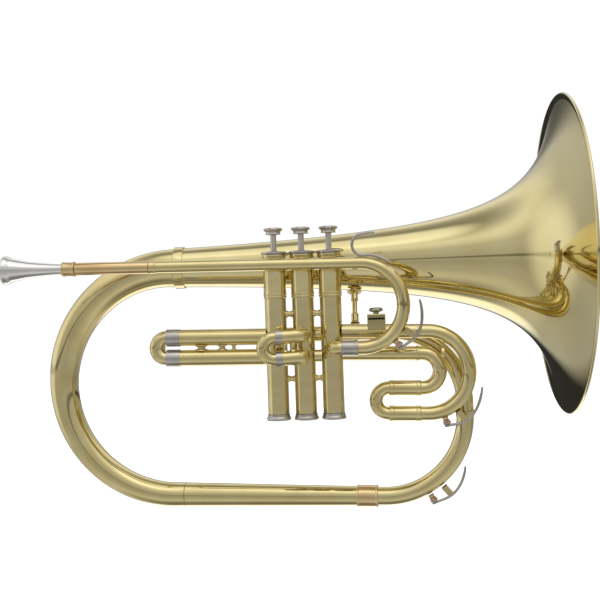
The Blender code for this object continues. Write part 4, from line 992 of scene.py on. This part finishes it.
def make_third_slide():
    start, end, radius = THIRD_SLEEVE_START_X, THIRD_SLEEVE_END_X, THIRD_RADIUS
    high, low = THIRD_SLEEVES
    bend = (THIRD_PORT - high) / 2
    right = end + 1.0 * MM + bend
    path = route(
        [
            third(VALVES[2] + CASING_RADIUS - JOINT_DEPTH, THIRD_PORT),
            third(right, THIRD_PORT),
            third(right, high),
            third(start, high),
        ],
        [bend, bend],
    )
    piped("return_bend_skin", path, radius, BRASS, "third_slide_return_bend")
    big = (THIRD_UPPER - low) / 2
    far = THIRD_BOW_START_X + big
    path = route(
        [
            third(start, low),
            third(far, low),
            third(far, THIRD_UPPER),
            third(VALVES[2] + CASING_RADIUS - JOINT_DEPTH, THIRD_UPPER),
        ],
        [big, big],
    )
    piped("big_bow_skin", path, radius, BRASS, "third_slide_bow")
    crook = (high - low) / 2
    left = start - GAP - crook
    inner = THIRD_SLEEVE_RADIUS - TUBE_WALL - GAP
    path = route(
        [
            third(start + THIRD_INSERTION, high),
            third(left, high),
            third(left, low),
            third(start + THIRD_INSERTION, low),
        ],
        [crook, crook],
    )
    piped("third_crook_skin", path, inner, BRASS, "third_slide_crook")
    sleeve = THIRD_SLEEVE_RADIUS
    sleeves = (("upper", high, "third_slide_return_bend"), ("lower", low, "third_slide_bow"))
    for label, height, node in sleeves:
        centre = third((start + end) / 2, height)
        band(f"third_sleeve_{label}", centre, ALONG_THIRD, sleeve, radius - 0.1 * MM, end - start, BRASS,
             node)
        for side, x in (("left", start + 2.4 * MM), ("right", end - 2.4 * MM)):
            band(f"third_ring_{label}_{side}", third(x, height), ALONG_THIRD, sleeve + 0.15 * MM, radius,
                 4.0 * MM, BRASS, node, 0.25 * MM)
    for side, x in (("left", end - 3 * MM), ("right", end + 18 * MM)):
        band(f"third_port_ring_{side}", third(x, THIRD_PORT), ALONG_THIRD, radius + 0.4 * MM,
             radius - 0.1 * MM,
             2.4 * MM, BRASS, "third_slide_return_bend")


make_valves()
make_mouthpiece()
make_lead()
make_hook()
make_mouthpipe_brace()
make_first_slide()
make_second_slide()
make_third_slide()


# ---------------------------------------------------------------- fittings

BRACE_TOP = Vector((44.0 * MM, 31.5 * MM))
BRACE_FOOT_X = 43.8 * MM
BRACE_ROD_RADIUS = 2.1 * MM


def make_bell_brace():
    reach = bell_radius(BELL_RIM_X - BRACE_TOP.x)
    side = BELL_AXIS.y - BRACE_TOP.y
    top = Vector((BRACE_TOP.x, BRACE_TOP.y, BELL_AXIS.z - math.sqrt(reach**2 - side**2)))
    foot = Vector((BRACE_FOOT_X, OUTLET_DEPTH_Y, OUTLET_HEIGHT + OUTLET_RADIUS))
    way = (top - foot).normalized()
    foot += way * 3 * GAP
    length = (top - foot).length - 6 * GAP
    rod, flange = BRACE_ROD_RADIUS, 6.4 * MM
    profile = [
        (0.0, length),
        (flange, length),
        (flange, length - 0.9 * MM),
        (rod + 1.4 * MM, length - 2.4 * MM),
        (rod + 0.8 * MM, length - 3.2 * MM),
        (rod + 0.8 * MM, length - 8.4 * MM),
        (rod + 1.3 * MM, length - 9.0 * MM),
        (rod, length - 10.0 * MM),
        (rod, 9.4 * MM),
        (rod + 1.3 * MM, 8.4 * MM),
        (rod + 1.0 * MM, 7.2 * MM),
        (rod + 1.0 * MM, 2.0 * MM),
        (rod + 2.2 * MM, 0.0),
        (0.0, 0.0),
    ]
    turned("bell_post", profile, 0.5 * MM, foot, way, BRASS, "bell_brace", sides=64)


def detail_bevel(node, width):
    """Rounds a carried-over solid's edges."""
    bevel = NODES[node].modifiers.new("rounded_edges", "BEVEL")
    bevel.width = width
    bevel.segments = 3
    bevel.limit_method = "ANGLE"
    NODES[node].data.shade_smooth()
    NODES[node].data.set_sharp_from_angle(angle=math.radians(30))


def make_painted_slit_shade():
    """Painted shade: a thin dark box on the face towards the player's right, standing for the shade in the
    gap between the lyre clamp's jaws.
    """
    low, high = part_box("lyre_holder")
    middle = (low + high) / 2
    size = Vector((high.x - low.x - 1.4 * MM, 0.4 * MM, 1.7 * MM))
    centre = Vector((middle.x, low.y + 0.14 * MM, high.z - 3.8 * MM))
    mesh = bpy.data.meshes.new("painted_slit_shade")
    shape = bmesh.new()
    bmesh.ops.create_cube(shape, size=1.0)
    for corner in shape.verts:
        corner.co = Vector([centre[i] + corner.co[i] * size[i] for i in range(3)])
    shape.to_mesh(mesh)
    shape.free()
    add_piece("painted_slit_shade", mesh, SHADOW, "lyre_holder", False)


def make_lyre_screw():
    low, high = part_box("lyre_screw")
    top, radius = high.z, LYRE_SCREW_RADIUS
    profile = [
        (0.0, top),
        (radius - 2.0 * MM, top - 0.1 * MM),
        (radius - 0.9 * MM, top - 0.5 * MM),
        (radius, top - 1.4 * MM),
        (radius, top - 2.6 * MM),
        (radius - 1.2 * MM, top - 3.4 * MM),
        (2.6 * MM, top - 4.0 * MM),
        (2.4 * MM, LYRE_TOP + GAP),
        (1.5 * MM, LYRE_TOP + GAP),
        (1.5 * MM, low.z),
        (0.0, low.z),
    ]
    centre = ((low.x + high.x) / 2, 0, 0)
    mesh = lathe("lyre_screw_skin", softened(profile, 0.4 * MM), centre, Z, 72)
    for vertex in mesh.vertices:
        out = Vector((vertex.co.x - centre[0], vertex.co.y, 0))
        if out.length > radius - 1.0 * MM:
            angle = math.atan2(out.y, out.x)
            out *= 1 - 0.045 * (1 - math.cos(12 * angle)) / 2
            vertex.co = Vector((centre[0] + out.x, out.y, vertex.co.z))
    add_piece("lyre_screw_skin", mesh, NICKEL, "lyre_screw")


LEVER_RADIUS = 1.25 * MM
LEVER_CREST = 2.2 * MM
LEVER_REACH = 23.5 * MM
LEVER_DROPS = (20.3 * MM, 22.5 * MM, 15.5 * MM)
KEY_ANGLES = (-47.0, -69.4, -60.4)
KEY_PIVOT = 15.0 * MM
CORK_RADIUS = 3.0 * MM
CORK_HEIGHT = 3.2 * MM
SPOUT_RADIUS = 2.4 * MM
SPOUT_HEIGHT = 1.8 * MM
HINGE_RADIUS = 1.3 * MM
SADDLE_HALF_WIDTH = 3.2 * MM


def make_water_key(number, centre, reach, plane):
    angle, drop = math.radians(KEY_ANGLES[number - 1]), LEVER_DROPS[number - 1]
    centre = plane(*centre)
    outward = plane(math.cos(angle), math.sin(angle)) - plane(0, 0)
    along = plane(-math.sin(angle), math.cos(angle)) - plane(0, 0)
    side = outward.cross(along)
    surface = centre + outward * reach

    def place(a, o):
        return surface + along * a + outward * o

    spout = [
        (SPOUT_RADIUS - 0.3 * MM, SPOUT_HEIGHT),
        (SPOUT_RADIUS, 1.0 * MM),
        (SPOUT_RADIUS + 0.5 * MM, -0.4 * MM),
        (SPOUT_RADIUS / 2, -0.4 * MM),
        (SPOUT_RADIUS / 2, SPOUT_HEIGHT),
    ]
    turned(f"key_{number}_spout", spout, 0.3 * MM, surface, outward, BRASS, f"water_key_spout_{number}",
           sides=48)
    base = SPOUT_HEIGHT + GAP
    cork = [(0.0, CORK_HEIGHT), (CORK_RADIUS, CORK_HEIGHT), (CORK_RADIUS * 0.94, 0.0), (0.0, 0.0)]
    turned(f"key_{number}_pad", cork, 0.5 * MM, place(0, base), outward, CORK,
           f"water_key_cork_{number}", sides=48)
    cup = [
        (0.0, 0.9 * MM),
        (CORK_RADIUS - 0.2 * MM, 0.7 * MM),
        (CORK_RADIUS + 0.35 * MM, 0.0),
        (CORK_RADIUS + 0.35 * MM, -1.1 * MM),
        (CORK_RADIUS + 0.02 * MM, -1.1 * MM),
        (CORK_RADIUS + 0.02 * MM, 0.0),
        (0.0, 0.0),
    ]
    turned(f"key_{number}_cup", cup, 0.25 * MM, place(0, base + CORK_HEIGHT), outward, NICKEL,
           f"water_key_cork_{number}", False, sides=48)

    low = base + CORK_HEIGHT + GAP + LEVER_RADIUS
    crest = low + LEVER_CREST
    shape = [
        (-CORK_RADIUS, low),
        (CORK_RADIUS, low + LEVER_CREST * 0.4),
        (KEY_PIVOT * 0.6, low + LEVER_CREST * 0.9),
        (KEY_PIVOT, crest),
        (KEY_PIVOT + LEVER_REACH * 0.25, crest - drop * 0.09),
        (KEY_PIVOT + LEVER_REACH * 0.5, crest - drop * 0.27),
        (KEY_PIVOT + LEVER_REACH * 0.73, crest - drop * 0.53),
        (KEY_PIVOT + LEVER_REACH * 0.9, crest - drop * 0.79),
        (KEY_PIVOT + LEVER_REACH, crest - drop),
    ]
    path = smooth_path([place(a, o) for a, o in shape], 5)
    count = len(path)
    thinning = [1.4 * max(0.0, i / count - 0.75) for i in range(count)]
    radii = [LEVER_RADIUS * (0.98 - less) for less in thinning]
    name = f"key_{number}_lever"
    add_piece(name, bar(name, path, radii, 24), NICKEL, f"water_key_lever_{number}")
    pivot = place(KEY_PIVOT, crest - LEVER_RADIUS - HINGE_RADIUS / 2)
    half = LEVER_RADIUS + GAP
    barrel = mirrored([(0.0, half), (HINGE_RADIUS, half)])
    turned(f"key_{number}_barrel", barrel, 0.2 * MM, pivot, side, NICKEL, f"water_key_lever_{number}",
           False, sides=40)
    wide = SADDLE_HALF_WIDTH
    head = [
        (0.0, wide + 0.5 * MM),
        (1.0 * MM, wide + 0.4 * MM),
        (1.1 * MM, wide - 0.1 * MM),
        (0.5 * MM, wide - 0.2 * MM),
    ]
    turned(f"key_{number}_pin", mirrored(head), 0.15 * MM, pivot, side, NICKEL,
           f"water_key_saddle_{number}", False, sides=32)
    detail_bevel(f"water_key_saddle_{number}", 0.25 * MM)


def make_fittings():
    make_bell_brace()
    make_painted_slit_shade()
    make_lyre_screw()
    detail_bevel("lyre_holder", 0.3 * MM)
    make_water_key(1, (TUNING_CENTRE_X, LEAD_HEIGHT - TUNING_BEND), TUNING_BEND + TUNING_END_RADIUS, lead)
    big = (THIRD_UPPER - THIRD_SLEEVES[1]) / 2
    make_water_key(2, (THIRD_BOW_START_X, THIRD_UPPER - big), big + THIRD_RADIUS, third)
    bow = (RIGHT_BOW_X - RIGHT_BOW_RADIUS, RIGHT_BOW_BOTTOM + RIGHT_BOW_RADIUS)
    make_water_key(3, bow, RIGHT_BOW_RADIUS + RIGHT_BOW_TUBE_RADIUS, loop)


make_fittings()


# ---------------------------------------------------------------- studio and camera

LENS_LENGTH = 60
SENSOR_WIDTH = 36
CAMERA_YAW = math.radians(3.497)
CAMERA_ROLL = math.radians(1.938)
CAMERA_PLACE = Vector((49.7, -853.0, 30.0)) * MM
FLOOR_HEIGHT = -0.42
FLOOR_HALF_WIDTH = 6.0


def studio():
    """A white tent with soft boxes and dark flags. Only reflections see the boxes and flags."""
    world = bpy.data.worlds.new("studio")
    bpy.context.scene.world = world
    world.use_nodes = True
    nodes, links = world.node_tree.nodes, world.node_tree.links
    nodes.clear()

    def vector_math(operation, source):
        node = nodes.new("ShaderNodeVectorMath")
        node.operation = operation
        links.new(source, node.inputs[0])
        return node

    out = nodes.new("ShaderNodeOutputWorld")
    place = nodes.new("ShaderNodeTexCoord")
    split = nodes.new("ShaderNodeSeparateXYZ")
    links.new(place.outputs["Generated"], split.inputs["Vector"])
    height = nodes.new("ShaderNodeMapRange")
    height.inputs["From Min"].default_value = -1
    links.new(split.outputs["Z"], height.inputs["Value"])
    ramp = nodes.new("ShaderNodeValToRGB")
    ramp.color_ramp.interpolation = "EASE"
    # From straight down to straight up: the height on the ramp and the brightness there.
    stops = [(0.0, 0.22), (0.12, 0.66), (0.27, 0.50), (0.42, 0.42), (0.475, 0.46), (0.50, 0.16),
             (0.53, 0.50), (0.68, 0.58), (0.84, 0.95), (1.0, 0.30)]
    while len(ramp.color_ramp.elements) < len(stops):
        ramp.color_ramp.elements.new(0.5)
    for element, (position, value) in zip(ramp.color_ramp.elements, stops):
        element.position = position
        element.color = (value, value, value * 0.99, 1)
    links.new(height.outputs["Result"], ramp.inputs["Fac"])
    total = ramp.outputs["Color"]
    # Each soft box or flag: its direction, the cosines where it fades out and in, and its strength.
    lamps = [
        ((-0.95, 0.10, 0.05), 0.80, 0.98, 0.45),
        ((0.0, 0.72, -0.69), 0.90, 0.96, 0.8),
        ((0.10, -0.30, 0.95), 0.86, 0.95, 0.8),
        ((-0.2, 1.0, 0.0), 0.92, 0.975, -0.5),
        ((0.90, 0.40, 0.0), 0.80, 0.93, -0.12),
    ]
    for way, outer, inner, strength in lamps:
        facing = vector_math("DOT_PRODUCT", place.outputs["Generated"])
        facing.inputs[1].default_value = Vector(way).normalized()
        glow = nodes.new("ShaderNodeMapRange")
        glow.interpolation_type = "SMOOTHSTEP"
        glow.inputs["From Min"].default_value = outer
        glow.inputs["From Max"].default_value = inner
        glow.inputs["To Max"].default_value = strength
        links.new(facing.outputs["Value"], glow.inputs["Value"])
        added = vector_math("ADD", total)
        links.new(glow.outputs["Result"], added.inputs[1])
        total = added.outputs["Vector"]
    lifted = vector_math("MAXIMUM", total)
    lifted.inputs[1].default_value = (0.03, 0.03, 0.03)
    total = lifted.outputs["Vector"]
    seen = nodes.new("ShaderNodeBackground")
    plain = nodes.new("ShaderNodeBackground")
    plain.inputs["Color"].default_value = (1, 1, 1, 1)
    plain.inputs["Strength"].default_value = 1.05
    path = nodes.new("ShaderNodeLightPath")
    choose = nodes.new("ShaderNodeMixShader")
    links.new(total, seen.inputs["Color"])
    links.new(path.outputs["Is Glossy Ray"], choose.inputs["Fac"])
    links.new(plain.outputs["Background"], choose.inputs[1])
    links.new(seen.outputs["Background"], choose.inputs[2])
    links.new(choose.outputs["Shader"], out.inputs["Surface"])


def make_floor():
    mesh = bpy.data.meshes.new("floor")
    shape = bmesh.new()
    bmesh.ops.create_grid(shape, x_segments=1, y_segments=1, size=FLOOR_HALF_WIDTH)
    shape.to_mesh(mesh)
    shape.free()
    floor = bpy.data.objects.new("floor", mesh)
    floor.location = (0, 0, FLOOR_HEIGHT)
    floor.visible_glossy = False
    bpy.context.scene.collection.objects.link(floor)
    pale, nodes, links = nodes_of("pale_floor")
    shader = nodes["Principled BSDF"]
    shader.inputs["Roughness"].default_value = 0.9
    shader.inputs["Emission Color"].default_value = (1, 1, 1, 1)
    shader.inputs["Emission Strength"].default_value = 0.35
    mottle = nodes.new("ShaderNodeTexNoise")
    mottle.inputs["Scale"].default_value = 2.0
    shade = two_tones(nodes, (0.88, 0.88, 0.88), (0.92, 0.92, 0.92))
    links.new(mottle.outputs["Fac"], shade.inputs["Fac"])
    links.new(shade.outputs["Color"], shader.inputs["Base Color"])
    mesh.materials.append(pale)


def make_camera():
    yaw, roll = CAMERA_YAW, CAMERA_ROLL
    forward = Vector((-math.sin(yaw), math.cos(yaw), 0))
    level = Vector((math.cos(yaw), math.sin(yaw), 0))
    across = level * math.cos(roll) - Z * math.sin(roll)
    upward = level * math.sin(roll) + Z * math.cos(roll)
    data = bpy.data.cameras.new("camera")
    data.lens = LENS_LENGTH
    data.sensor_width = SENSOR_WIDTH
    data.clip_end = 100
    camera = bpy.data.objects.new("camera", data)
    camera.matrix_world = Matrix((across, upward, -forward)).transposed().to_4x4()
    camera.location = CAMERA_PLACE
    bpy.context.scene.collection.objects.link(camera)
    bpy.context.scene.camera = camera


studio()
make_floor()
make_camera()
bpy.context.scene.view_settings.view_transform = "Standard"
